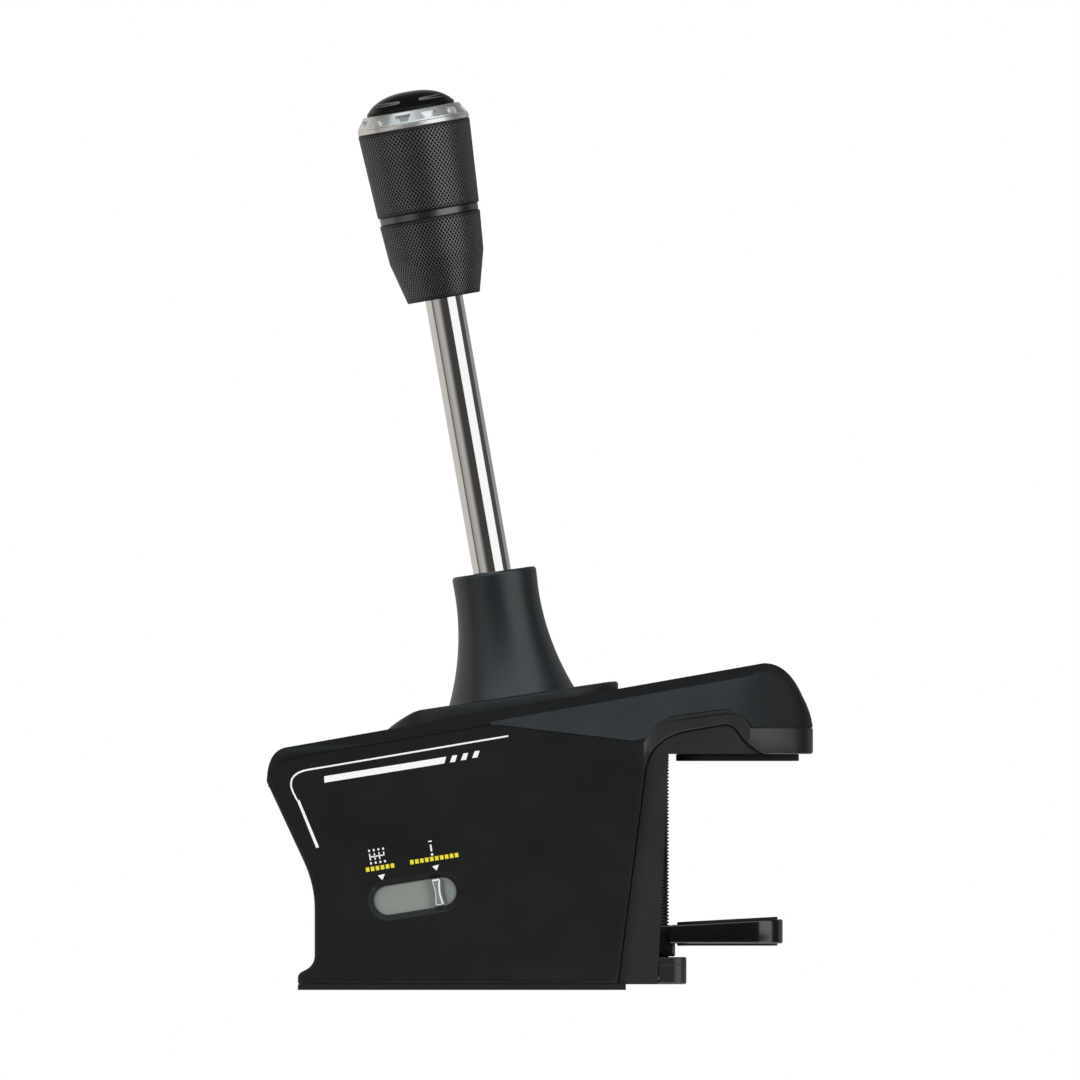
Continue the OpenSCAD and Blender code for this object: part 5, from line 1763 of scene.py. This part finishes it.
@dataclass
class Clamp:
    """Lower jaw with its pad, the block at the screw's foot, and the pad under the hood.

    The hub and the arm each have their start and end along X and half of their width, and the upper pad has
    its start and end along X and the height of its lower face.
    """

    screw_x: float = 43.6
    hub: tuple[float, float, float] = (35.3, 49.8, 15.0)
    hub_z: Flat = (12.4, 24.0)
    arm: tuple[float, float, float] = (48.0, 89.6, 31.0)
    arm_low: float = 17.2
    arm_rise: float = 2.25
    arm_corner: float = 10.0
    arm_ease: float = 0.7
    hub_ease: float = 0.6
    hub_corner: float = 1.0
    rib_y: tuple[float, ...] = (-21.0, 0.0, 21.0)
    rib_size: Flat = (4.0, 0.85)
    rib_ease: float = 0.3
    rib_corner: float = 0.8
    rib_root: float = 0.4
    pad_x: Flat = (50.5, 87.7)
    pad_proud: float = 1.0
    pad_thick: float = 2.6
    pad_ease: float = 0.45
    bed_inset: float = 1.9
    bed_gap: Flat = (0.2, 0.05)
    nut: Flat = (5.5, 7.4)
    shaft_hole: float = 4.4
    upper_pad: tuple[float, float, float] = (50.1, 95.6, 84.7)
    block_x: Flat = (43.85, 54.0)
    block_half: float = 28.2
    block_corner: float = 5.0
    block_z: tuple[float, float, float] = (2.1, 9.1, 12.2)
    block_eases: tuple[Flat, Flat] = ((0.9, 0.2), (0.2, 0.6))
    block_hole: float = 4.1
    head_hole: float = 6.7
    head_seat: float = 6.8
    ring_seat: float = 7.9
    tool_ends: Flat = (-5.0, 60.0)
    tool_long: float = 20.0
    bolt_at: Flat = (19.7, 5.5)
    bolt_head: Flat = (3.2, 2.0)

    def top(self, x: float) -> float:
        """Height of the arm's sloping top at x."""
        return self.hub_z[1] + (x - self.arm[0]) * self.arm_rise / (self.arm[1] - self.arm[0])

    def post(self, radius: float, low: float, high: float) -> Piece:
        """Upright round plug about the screw."""
        return plug(circle(radius, 48), lambda p, h: (self.screw_x + p[0], p[1], h), low, high)

    def bore_tools(self) -> list[Piece]:
        """Plugs for the screw's way through the jaw and for the nut's seat."""
        (radius, deep), high = self.nut, self.tool_ends[1]
        return [self.post(self.shaft_hole, 0.0, high), self.post(radius, self.hub_z[1] - deep, high)]

    def build_jaw(self) -> None:
        """Builds and dresses the jaw's hub, arm and ribs, and its pad."""
        start, reach, half = self.arm

        def ring(inset: float, height: Height) -> list[Point]:
            """Ring round the arm, drawn in by inset."""
            plan = tab_outline(start + inset, reach - inset, half - inset, self.arm_corner - inset)
            return [(x, y, height(x)) for x, y in plan]

        ease = eased(self.arm_ease)
        rings = [ring(e, lambda x, a=a: self.arm_low + a) for e, a in ease]
        rings += [ring(e, lambda x, a=a: self.top(x) - a) for e, a in ease[::-1]]
        bed = self.bed_inset - self.bed_gap[0]
        deep = self.pad_thick - self.pad_proud + self.bed_gap[1]
        rings += [ring(bed, self.top), ring(bed, lambda x: self.top(x) - deep)]
        arm = Skin().solid(rings).build("jaw_arm", sharp=35.0)
        cut(arm, *self.bore_tools())
        place(arm, "jaw", "clamp_plastic", Wear.JAW, "lower_jaw")
        front, rear, side = self.hub
        stack = []
        for e, z in eased_levels(*self.hub_z, self.hub_ease, self.hub_ease):
            plan = rounded(rear - front - 2 * e, 2 * (side - e), self.hub_corner, 4)
            stack.append([((front + rear) / 2 + x, y, z) for x, y in plan])
        hub = Skin().solid(stack).build("jaw_hub", sharp=35.0)
        cut(hub, *self.bore_tools())
        place(hub, "jaw", "clamp_plastic", Wear.JAW)
        self.build_ribs()
        self.build_pad("jaw_pad", self.pad_x, half - self.bed_inset, self.arm_corner - self.bed_inset,
                       lambda x: self.top(x) + self.pad_proud - self.pad_thick, "jaw", "lower_jaw_pad")
        left, right, under = self.upper_pad
        self.build_pad("hood_pad", (left, right), half, self.arm_corner, lambda x: under, "base",
                       "upper_jaw_pad")

    def build_ribs(self) -> None:
        """Builds and dresses the ribs under the arm."""
        wide, deep = self.rib_size
        long, middle = self.pad_x[1] - self.pad_x[0], sum(self.pad_x) / 2
        steps = [(e, self.arm_low - deep + a) for e, a in eased(self.rib_ease)]
        steps.append((0.0, self.arm_low + self.rib_root))
        ribs = Skin()
        for y in self.rib_y:
            rows = []
            for e, z in steps:
                plan = rounded(long - 2 * e, wide - 2 * e, self.rib_corner, 4)
                rows.append([(middle + px, y + py, z) for px, py in plan])
            ribs.solid(rows)
        place(ribs.build("jaw_ribs", sharp=35.0), "jaw", "clamp_plastic", Wear.JAW)

    def build_pad(self, name: str, reach: Flat, half: float, corner: float, low: Height, body: str,
                  node: str) -> None:
        """Builds and dresses one rubber pad.

        Args:
            name: Name of the piece.
            reach: Where it starts and ends along X.
            half: Half of its width.
            corner: Radius of its corners.
            low: Height of its lower face at x.
            body: Body that it rides on.
            node: Node that it stands for.
        """
        rings = []
        for inset, lift in eased_levels(0.0, self.pad_thick, self.pad_ease, self.pad_ease):
            plan = rounded(reach[1] - reach[0] - 2 * inset, 2 * (half - inset), corner - inset, 12)
            rings.append([(sum(reach) / 2 + x, y, low(sum(reach) / 2 + x) + lift) for x, y in plan])
        pad = Skin().solid(rings).build(name, sharp=35.0)
        place(pad, body, "black_rubber", Wear.RUBBER, node)

    def block_ring(self, inset: float, z: float) -> list[Point]:
        """Ring round the screw's block, with the tongue that enters the frame's slot.

        Args:
            inset: How far it is drawn in.
            z: Height.

        Returns:
            Points of the ring.
        """
        face, reach = self.block_x
        plate = tab_outline(face + inset, reach - inset, self.block_half - inset, self.block_corner - inset)
        front, side = self.hub[0] + inset, self.hub[2] - inset
        plan = plate + [(face + inset, side), (front, side), (front, -side), (face + inset, -side)]
        return [(x, y, z) for x, y in plan]

    def build_block(self) -> None:
        """Builds and dresses the block that carries the screw's foot, and its cap."""
        low, middle, high = self.block_z
        under, over = self.tool_ends
        lower, upper = self.block_eases
        (y, z), (radius, deep) = self.bolt_at, self.bolt_head
        bolt, seat = circle(radius, 32), self.block_x[1] - deep
        past = seat + self.tool_long
        for name, node, foot, roof, eases in (("screw_block", "screw_bearing", low, middle, lower),
                                              ("block_cap", "bearing_cap", middle, high, upper)):
            rings = [self.block_ring(e, z) for e, z in eased_levels(foot, roof, *eases)]
            piece = Skin().solid(rings).build(name, sharp=35.0)
            tools = [self.post(self.block_hole, under, over)]
            if foot == low:
                tools += [self.post(self.head_hole, under, self.head_seat),
                          self.post(self.head_hole, self.ring_seat, self.tool_long)]
                tools += [plug(bolt, lambda p, h: (h, side * y + p[0], z + p[1]), seat, past)
                          for side in (-1.0, 1.0)]
            cut(piece, *tools)
            place(piece, "base", "clamp_plastic", Wear.BLOCK, node)

    def build(self) -> None:
        """Builds every piece of the clamp."""
        self.build_jaw()
        self.build_block()


@dataclass
class ClampScrew:
    """Threaded screw that draws the lower jaw up, with a socket head at its foot."""

    x: float = 43.6
    crest_r: float = 4.0
    root_r: float = 3.35
    pitch: float = 1.25
    low: float = 3.2
    top: float = 94.5
    thread_low: float = 9.0
    head_r: float = 6.5
    head_height: float = 4.0
    head_ease: float = 0.5
    neck: Flat = (0.05, 0.4)
    socket: Flat = (3.4, 3.0)
    root_flat: float = 0.16
    flank: float = 0.66
    end_fade: float = 0.8
    end_sunk: float = 0.3
    steps: int = 40
    samples: int = 8

    def thread(self, z: float, turn: float) -> float:
        """Radius of the thread.

        Args:
            z: Height.
            turn: Share of a turn.

        Returns:
            Radius at that place.
        """
        phase = (z / self.pitch - turn) % 1.0
        flank = (abs(phase - 0.5) * 2.0 - self.root_flat) / self.flank
        return self.root_r + (self.crest_r - self.root_r) * min(1.0, max(0.0, flank))

    def build(self) -> None:
        """Builds and dresses the threaded rod and its head."""
        count = round((self.top - self.thread_low) / self.pitch * self.samples)
        levels = [self.thread_low + (self.top - self.thread_low) * i / count for i in range(count + 1)]
        rows = []
        for z in levels:
            fade = min(1.0, (self.top - z) / self.end_fade)
            row = []
            for k in range(self.steps):
                turn = k / self.steps
                core = self.root_r - self.end_sunk
                r = core + (self.thread(z, turn) - core) * fade
                row.append((self.x + r * cos(2 * pi * turn), r * sin(2 * pi * turn), z))
            rows.append(row)
        rod = Skin().solid(rows).build("clamp_thread", sharp=50.0)
        place(rod, "screw", "screw_steel", Wear.SCREW, "clamp_screw")
        r, low, high, ease = self.head_r, self.low, self.low + self.head_height, self.head_ease
        neck_r, neck_top = self.crest_r - self.neck[0], self.thread_low + self.neck[1]
        profile = [(0.0, low), (r - ease, low), (r, low + ease), (r, high - ease), (r - ease, high),
                   (neck_r, high), (neck_r, neck_top), (0.0, neck_top)]
        head = Skin().turned(profile, 48, lambda p: (self.x + p[0], p[1], p[2])).build("clamp_screw_head")
        radius, deep = self.socket
        tool = plug(circle(radius, 6), lambda p, h: (self.x + p[0], p[1], h), 0.0, low + deep)
        cut(head, tool)
        place(head, "screw", "screw_steel", Wear.SCREW)


@dataclass
class SidePrint:
    """Ink on the side panel: framing lines, stripe, dashes and the marks of the mode switch."""

    housing: Housing
    proud: float = 0.07
    sunk: float = 0.25
    origin_px: Flat = (540.5, 990.0)
    mm_per_px: float = 0.37
    thin_px: Line = ((508.2, 736.0), (309.0, 769.6), (290.0, 772.6), (291.0, 785.5),
                                 (291.4, 790.0), (297.4, 800.6))
    thin_width: float = 0.62
    upright_px: tuple[Flat, Flat] = ((298.2, 800.4), (317.6, 847.6))
    upright_widths: Flat = (0.95, 1.1)
    stripe_px: Line = ((324.0, 776.3), (324.4, 782.7), (444.3, 763.4), (446.2, 756.7))
    dash_px: Line = ((452.3, 755.6), (449.7, 762.5), (455.0, 761.8), (457.2, 755.0))
    dash_steps_px: Line = ((0.0, 0.0), (11.0, -2.1), (22.4, -4.4))
    pointers_px: tuple[Line, Line] = (((377.9, 875.4), (382.3, 880.1), (384.9, 873.9)),
                                      ((432.1, 866.3), (436.5, 870.5), (438.9, 864.6)))
    gate_px: Flat = (377.0, 856.0)
    gate_columns: int = 4
    gate_pitch: float = 1.75
    gate_half: float = 1.25
    gate_rail: Flat = (-2.6, 2.85)
    gate_dots: float = 2.35
    dot_size: Flat = (0.64, 0.8)
    thin_stroke: float = 0.45
    inline_px: Flat = (431.0, 848.0)
    inline_strokes: tuple[tuple[Flat, Flat, float], ...] = (
        ((0.0, -1.3), (0.0, 1.3), 0.6), ((-0.65, 2.5), (0.65, 2.5), 0.45), ((-0.4, -2.4), (0.4, -2.4), 0.8))
    bars_px: tuple[tuple[Flat, int], ...] = (((380.0, 867.6), 6), ((434.2, 858.6), 10))
    bar_pitch: float = 1.86
    bar_size: Flat = (1.32, 1.6)

    def from_px(self, *points: Flat) -> list[Flat]:
        """Places in the side view of points read off the picture."""
        left, low = self.origin_px
        return [((x - left) * self.mm_per_px, (low - y) * self.mm_per_px) for x, y in points]

    def on_panel(self, at: Flat, proud: float) -> Point:
        """Point on the side panel, raised by some of the ink's thickness."""
        return (at[0], self.housing.sink(*at) - self.housing.shape.half - proud, at[1])

    def patch(self, skin: Skin, outline: Sequence[Flat]) -> None:
        """Adds a flat patch of ink."""
        skin.solid([[self.on_panel(p, h) for p in outline] for h in (-self.sunk, self.proud)])

    def line(self, skin: Skin, path: Sequence[Flat], widths: Flat) -> None:
        """Adds a line of ink along a path, with its width at the start and at the end."""
        skin.solid(ribbon(path, widths, self.on_panel, -self.sunk, self.proud))

    def framing(self) -> None:
        """Adds the thin line with its rounded corner, the stripe and the three dashes."""
        skin = Skin()
        end, bend, elbow, turn, hollow, heel = self.from_px(*self.thin_px)
        path = chain(run(end, bend, 40), curve(bend, elbow, turn, 14), curve(turn, hollow, heel, 8))
        self.line(skin, path, (self.thin_width, self.thin_width))
        self.line(skin, run(*self.from_px(*self.upright_px), 12), self.upright_widths)
        self.patch(skin, self.from_px(*self.stripe_px))
        for right, down in self.dash_steps_px:
            self.patch(skin, self.from_px(*((x + right, y + down) for x, y in self.dash_px)))
        place(skin.build("side_stripes"), "base", "housing_plastic", Wear.WHITE_INK)

    def switch_marks(self) -> None:
        """Adds the pointers, a plain gate sign, a plain in-line sign and short coloured bars."""
        white, yellow = Skin(), Skin()
        for corners in self.pointers_px:
            self.patch(white, self.from_px(*corners))

        def stroke(skin: Skin, centre_px: Flat, start: Flat, end: Flat, width: float) -> None:
            """Adds one straight stroke of a sign.

            Args:
                skin: Mesh that takes it.
                centre_px: The sign's middle.
                start: One end, from that middle, along and across the switch.
                end: The other end.
                width: Width.
            """
            cx, cz = self.from_px(centre_px)[0]
            ends = [spin(p, self.housing.window_tilt) for p in (start, end)]
            self.line(skin, [(cx + x, cz + z) for x, z in ends], (width, width))

        long, high = self.dot_size
        for k in range(self.gate_columns):
            x = (k - (self.gate_columns - 1) / 2) * self.gate_pitch
            low = 0.0 if k == self.gate_columns - 1 else -self.gate_half
            stroke(white, self.gate_px, (x, low), (x, self.gate_half), self.thin_stroke)
            for z in (-self.gate_dots, self.gate_dots):
                stroke(white, self.gate_px, (x - long / 2, z), (x + long / 2, z), high)
        left, right = self.gate_rail
        stroke(white, self.gate_px, (left, 0.0), (right, 0.0), self.thin_stroke)
        for start, end, width in self.inline_strokes:
            stroke(white, self.inline_px, start, end, width)
        long, high = self.bar_size
        for centre, count in self.bars_px:
            for k in range(count):
                x = (k - (count - 1) / 2) * self.bar_pitch
                stroke(yellow, centre, (x - long / 2, 0.0), (x + long / 2, 0.0), high)
        place(white.build("switch_pointers"), "base", "housing_plastic", Wear.WHITE_INK)
        place(yellow.build("switch_bars"), "base", "housing_plastic", Wear.YELLOW_INK)

    def build(self) -> None:
        """Builds all the ink."""
        self.framing()
        self.switch_marks()


@dataclass
class ModeSwitch:
    """Grey slider with its waisted tab, in the bevelled window."""

    housing: Housing
    tab_at: float = 8.4
    tab_top: float = 3.3
    tab_waist: float = 2.1
    tab_half: float = 4.9
    tab_floor: float = -3.1
    tab_proud: float = -0.15
    tab_steps: Line = ((0.0, -0.35), (-0.15, -0.08), (-0.4, 0.0))
    tab_root: float = 0.35
    waist_power: float = 1.6
    face_turn: float = 0.9
    edge: float = 0.62
    edge_ends: Flat = (-0.4, 0.06)
    fine_edge: float = 0.248
    fine_ends: Flat = (-0.4, 0.05)
    ridge_at: float = 1.7
    ridge_share: float = 0.92
    ridge: float = 0.4
    ridge_root: float = 0.1

    def outline(self, grow: float) -> list[Flat]:
        """Waisted outline of the tab.

        Args:
            grow: How much wider it is made.

        Returns:
            Points round the tab.
        """
        side = []
        for i in range(17):
            t = i / 8 - 1.0
            half = self.tab_waist / 2 + (self.tab_top - self.tab_waist) / 2 * abs(t) ** self.waist_power
            side.append((half + grow, t * (self.tab_half + grow)))
        return [(self.tab_at + x, y) for x, y in side] + [(self.tab_at - x, y) for x, y in side[::-1]]

    def trail(self, skin: Skin, path: Sequence[Flat], width: float, ends: Flat) -> None:
        """Adds a thin raised line along a path, from its foot to its crest."""
        skin.solid(ribbon(path, (width, width), self.housing.on_window, *ends))

    def build(self) -> None:
        """Builds and dresses the tab, a painted highlight along its edges, and the ridge beside it."""
        floor, crest = self.tab_floor, self.tab_proud
        levels = [(self.tab_root, floor)] + [(grow, crest + lift) for grow, lift in self.tab_steps]
        rings = [[self.housing.on_window(p, h) for p in self.outline(g)] for g, h in levels]
        tab = Skin().solid(rings).build("mode_tab_ridge", sharp=40.0)
        place(tab, "mode", "grey_plastic", Wear.GREY, "mode_tab")
        # The tab's front face wears a darker copy of its grey: painted shade.
        two_tone(tab, Wear.TAB_FACE, lambda face: -face.normal.y > self.face_turn)
        ring = self.outline(-self.edge / 2)
        right, left = ring[:len(ring) // 2], ring[len(ring) // 2:]
        edge, ridge = Skin(), Skin()
        for path, width, (foot, head) in ((left[:1] + right[::-1], self.edge, self.edge_ends),
                                          (left[1:] + right[:1], self.fine_edge, self.fine_ends)):
            self.trail(edge, path, width, (crest + foot, crest + head))
        # The line along the tab's edges is a painted highlight.
        place(edge.build("mode_tab_painted_highlight", sharp=40.0), "mode", "grey_plastic", Wear.TAB_EDGE)
        shifted = [(x + self.ridge_at, self.ridge_share * y) for x, y in right]
        self.trail(ridge, shifted, self.ridge, (floor - self.ridge_root, floor + self.ridge))
        # The ridge wears the darker grey too: a painted shadow line beside the tab.
        place(ridge.build("slider_ridge", sharp=40.0), "mode", "grey_plastic", Wear.TAB_FACE)


class Lamp(Enum):
    """Soft lamps of the studio: place and target in metres, size in metres, power in watts."""

    TOP = ((0.1, -0.5, 1.7), (0.0, 0.0, 0.15), (1.6, 1.2), 3.0)
    LEFT = ((-1.3, -1.4, 0.40), (0.0, 0.0, 0.15), (1.0, 0.8), 15.0)
    RIGHT = ((1.2, -1.3, 0.35), (0.0, 0.0, 0.15), (0.8, 0.7), 13.0)
    BACK = ((0.3, 1.6, 1.2), (0.0, 0.0, 0.15), (1.4, 1.0), 10.0)


WHITE = (1.0, 1.0, 1.0)
WARM = (1.0, 0.95, 0.90)
# Where each upright card ends, in degrees from the camera's side towards +X, and how bright it looks. The
# first starts at -180, and a card with no tone is left out, so that the white room shows.
CARD_TONES = ((-88.0, 0.56), (-76.0, 0.14), (-66.0, 0.34), (-56.0, 0.40), (-41.0, 0.44), (-36.0, 0.36),
              (-30.0, 0.25), (-25.0, 0.13), (-20.0, 0.07), (18.5, 0.047), (73.0, None), (112.0, 0.065),
              (180.0, 0.28))


@dataclass
class Studio:
    """Camera, lamps, floor, and the cards that bright metal mirrors."""

    ortho: float = 399.6
    centre: Flat = (-0.2, 166.5)
    distance: float = 1600.0
    ambient: float = 0.35
    card_radius: float = 1200.0
    card_heights: Flat = (-600.0, 1600.0)
    ceiling_half: float = 1250.0
    ceiling_height: float = 950.0
    ceiling_tone: float = 0.10
    upper_turns: Flat = (-70.0, 70.0)
    upper_rises: tuple[float, ...] = (28.0, 48.0, 68.0)
    upper_radius: float = 800.0
    upper_centre: float = 120.0
    upper_tone: float = 1.2
    upper_tint: Colour = (0.80, 0.93, 1.0)
    dark_floor_half: float = 320.0
    dark_floor_ends: Flat = (-1200.0, -110.0)
    dark_floor_height: float = -0.1
    dark_floor_tone: float = 0.035
    floor_half: float = 3000.0
    floor_height: float = -0.4
    floor_grain: float = 60.0
    floor_roughness: float = 0.7
    floor_specular: float = 0.2
    floor_tones: tuple[Colour, Colour] = ((0.80, 0.80, 0.80), (0.84, 0.84, 0.84))

    def build_camera(self) -> None:
        """Adds the level camera that looks along +Y with no perspective."""
        data = bpy.data.cameras.new("side_view")
        data.type = "ORTHO"
        data.ortho_scale = self.ortho * MM
        camera = bpy.data.objects.new("side_view", data)
        camera.location = (self.centre[0] * MM, -self.distance * MM, self.centre[1] * MM)
        camera.rotation_euler = (radians(90.0), 0.0, 0.0)
        bpy.context.scene.collection.objects.link(camera)
        bpy.context.scene.camera = camera

    def build_world(self) -> None:
        """Shows a white room to the camera and to mirrors, and a dimmer one to matt surfaces."""
        world = bpy.data.worlds.new("studio")
        bpy.context.scene.world = world
        graph = Graph(world)
        rays = graph.node("ShaderNodeLightPath").socket.node
        seen = Sock(graph, rays.outputs["Is Camera Ray"])
        for name in ("Is Glossy Ray", "Is Transmission Ray"):
            also = Sock(graph, rays.outputs[name])
            seen = graph.node("ShaderNodeMath", {"operation": "MAXIMUM"}, {0: seen, 1: also})
        ends = {"Value": seen, "To Min": self.ambient, "To Max": 1.0}
        level = graph.node("ShaderNodeMapRange", None, ends)
        glow = graph.node("ShaderNodeBackground", None, {"Color": WHITE, "Strength": level})
        graph.node("ShaderNodeOutputWorld", None, {"Surface": glow})

    def build_lamps(self) -> None:
        """Adds the soft lamps."""
        for lamp in Lamp:
            at, target, size, power = lamp.value
            data = bpy.data.lights.new(lamp.name.lower(), "AREA")
            data.shape = "RECTANGLE"
            data.size, data.size_y = size
            data.energy = power
            light = bpy.data.objects.new(lamp.name.lower(), data)
            light.location = at
            aim = Vector(target) - Vector(at)
            light.rotation_euler = aim.to_track_quat("-Z", "Y").to_euler()
            light.visible_glossy = False
            bpy.context.scene.collection.objects.link(light)

    def arc(self, turns: Flat, radius: float, z: float, steps: int) -> list[Point]:
        """Row of points round the object, with turns in degrees from the camera's side towards +X."""
        angles = [radians(turns[0] + (turns[1] - turns[0]) * i / steps) for i in range(steps + 1)]
        return [(radius * sin(a), -radius * cos(a), z) for a in angles]

    def flat(self, half: float, ends: Flat, z: float) -> list[list[Point]]:
        """Rows of a level rectangle, given by half of its width and its ends along Y."""
        return [[(x, y, z) for x in (-half, half)] for y in ends]

    def board(self, name: str, rows: Sequence[Sequence[Point]], tone: float, tint: Colour = WHITE) -> None:
        """Adds a glowing board that only mirrors see.

        Args:
            name: Its name.
            rows: Rows of its points.
            tone: How bright it looks.
            tint: Its colour.
        """
        board = Skin().rows(rows).build(name)
        graph = Graph(bpy.data.materials.new(name))
        glow = graph.node("ShaderNodeEmission", None, {"Color": tint, "Strength": tone})
        graph.node("ShaderNodeOutputMaterial", None, {"Surface": glow})
        board.data.materials.append(graph.owner)
        board.visible_camera = False
        board.visible_diffuse = False
        board.visible_shadow = False

    def build_cards(self) -> None:
        """Adds the upright cards, the ceiling, the card over the front and the dark floor before it."""
        turn = -180.0
        for i, (end, tone) in enumerate(CARD_TONES):
            if tone is not None:
                rows = [self.arc((turn, end), self.card_radius, z, 12) for z in self.card_heights]
                self.board(f"card_{i}", rows, tone, WARM if end < 0.0 else WHITE)
            turn = end
        half = self.ceiling_half
        self.board("ceiling", self.flat(half, (-half, half), self.ceiling_height), self.ceiling_tone)
        rows = []
        for rise in (radians(a) for a in self.upper_rises):
            height = self.upper_centre + self.upper_radius * sin(rise)
            rows.append(self.arc(self.upper_turns, self.upper_radius * cos(rise), height, 10))
        self.board("upper_front_card", rows, self.upper_tone, self.upper_tint)
        rows = self.flat(self.dark_floor_half, self.dark_floor_ends, self.dark_floor_height)
        self.board("front_floor", rows, self.dark_floor_tone)

    def build_floor(self) -> None:
        """Adds the pale floor, which mirrors do not see."""
        half = self.floor_half
        floor = Skin().rows(self.flat(half, (-half, half), self.floor_height)).build("floor")
        graph = Graph(bpy.data.materials.new("pale_floor"))
        tone = graph.mix(graph.noise(self.floor_grain), *self.floor_tones)
        paint = graph.surface({"Base Color": tone, "Roughness": self.floor_roughness,
                               "Specular IOR Level": self.floor_specular})
        floor.data.materials.append(paint)
        floor.visible_glossy = False

    def build(self) -> None:
        """Sets the whole studio."""
        bpy.context.scene.view_settings.view_transform = "Standard"
        self.build_camera()
        self.build_world()
        self.build_lamps()
        self.build_cards()
        self.build_floor()


def main() -> None:
    """Builds every sub-assembly in order, then the studio."""
    logging.basicConfig(level=logging.INFO, format="%(name)s: %(message)s")
    shape, axes = BodyShape(), LeverAxes()
    housing = Housing(shape)
    dress_frame()
    housing.build()
    Cover(shape, axes).build()
    Bezel(shape, axes).build()
    lever = Lever(axes)
    lever.build_shaft()
    lever.build_shroud()
    Knob(axes).build()
    Clamp().build()
    ClampScrew().build()
    SidePrint(housing).build()
    ModeSwitch(housing).build()
    Studio().build()


if __name__ == "__main__":
    main()
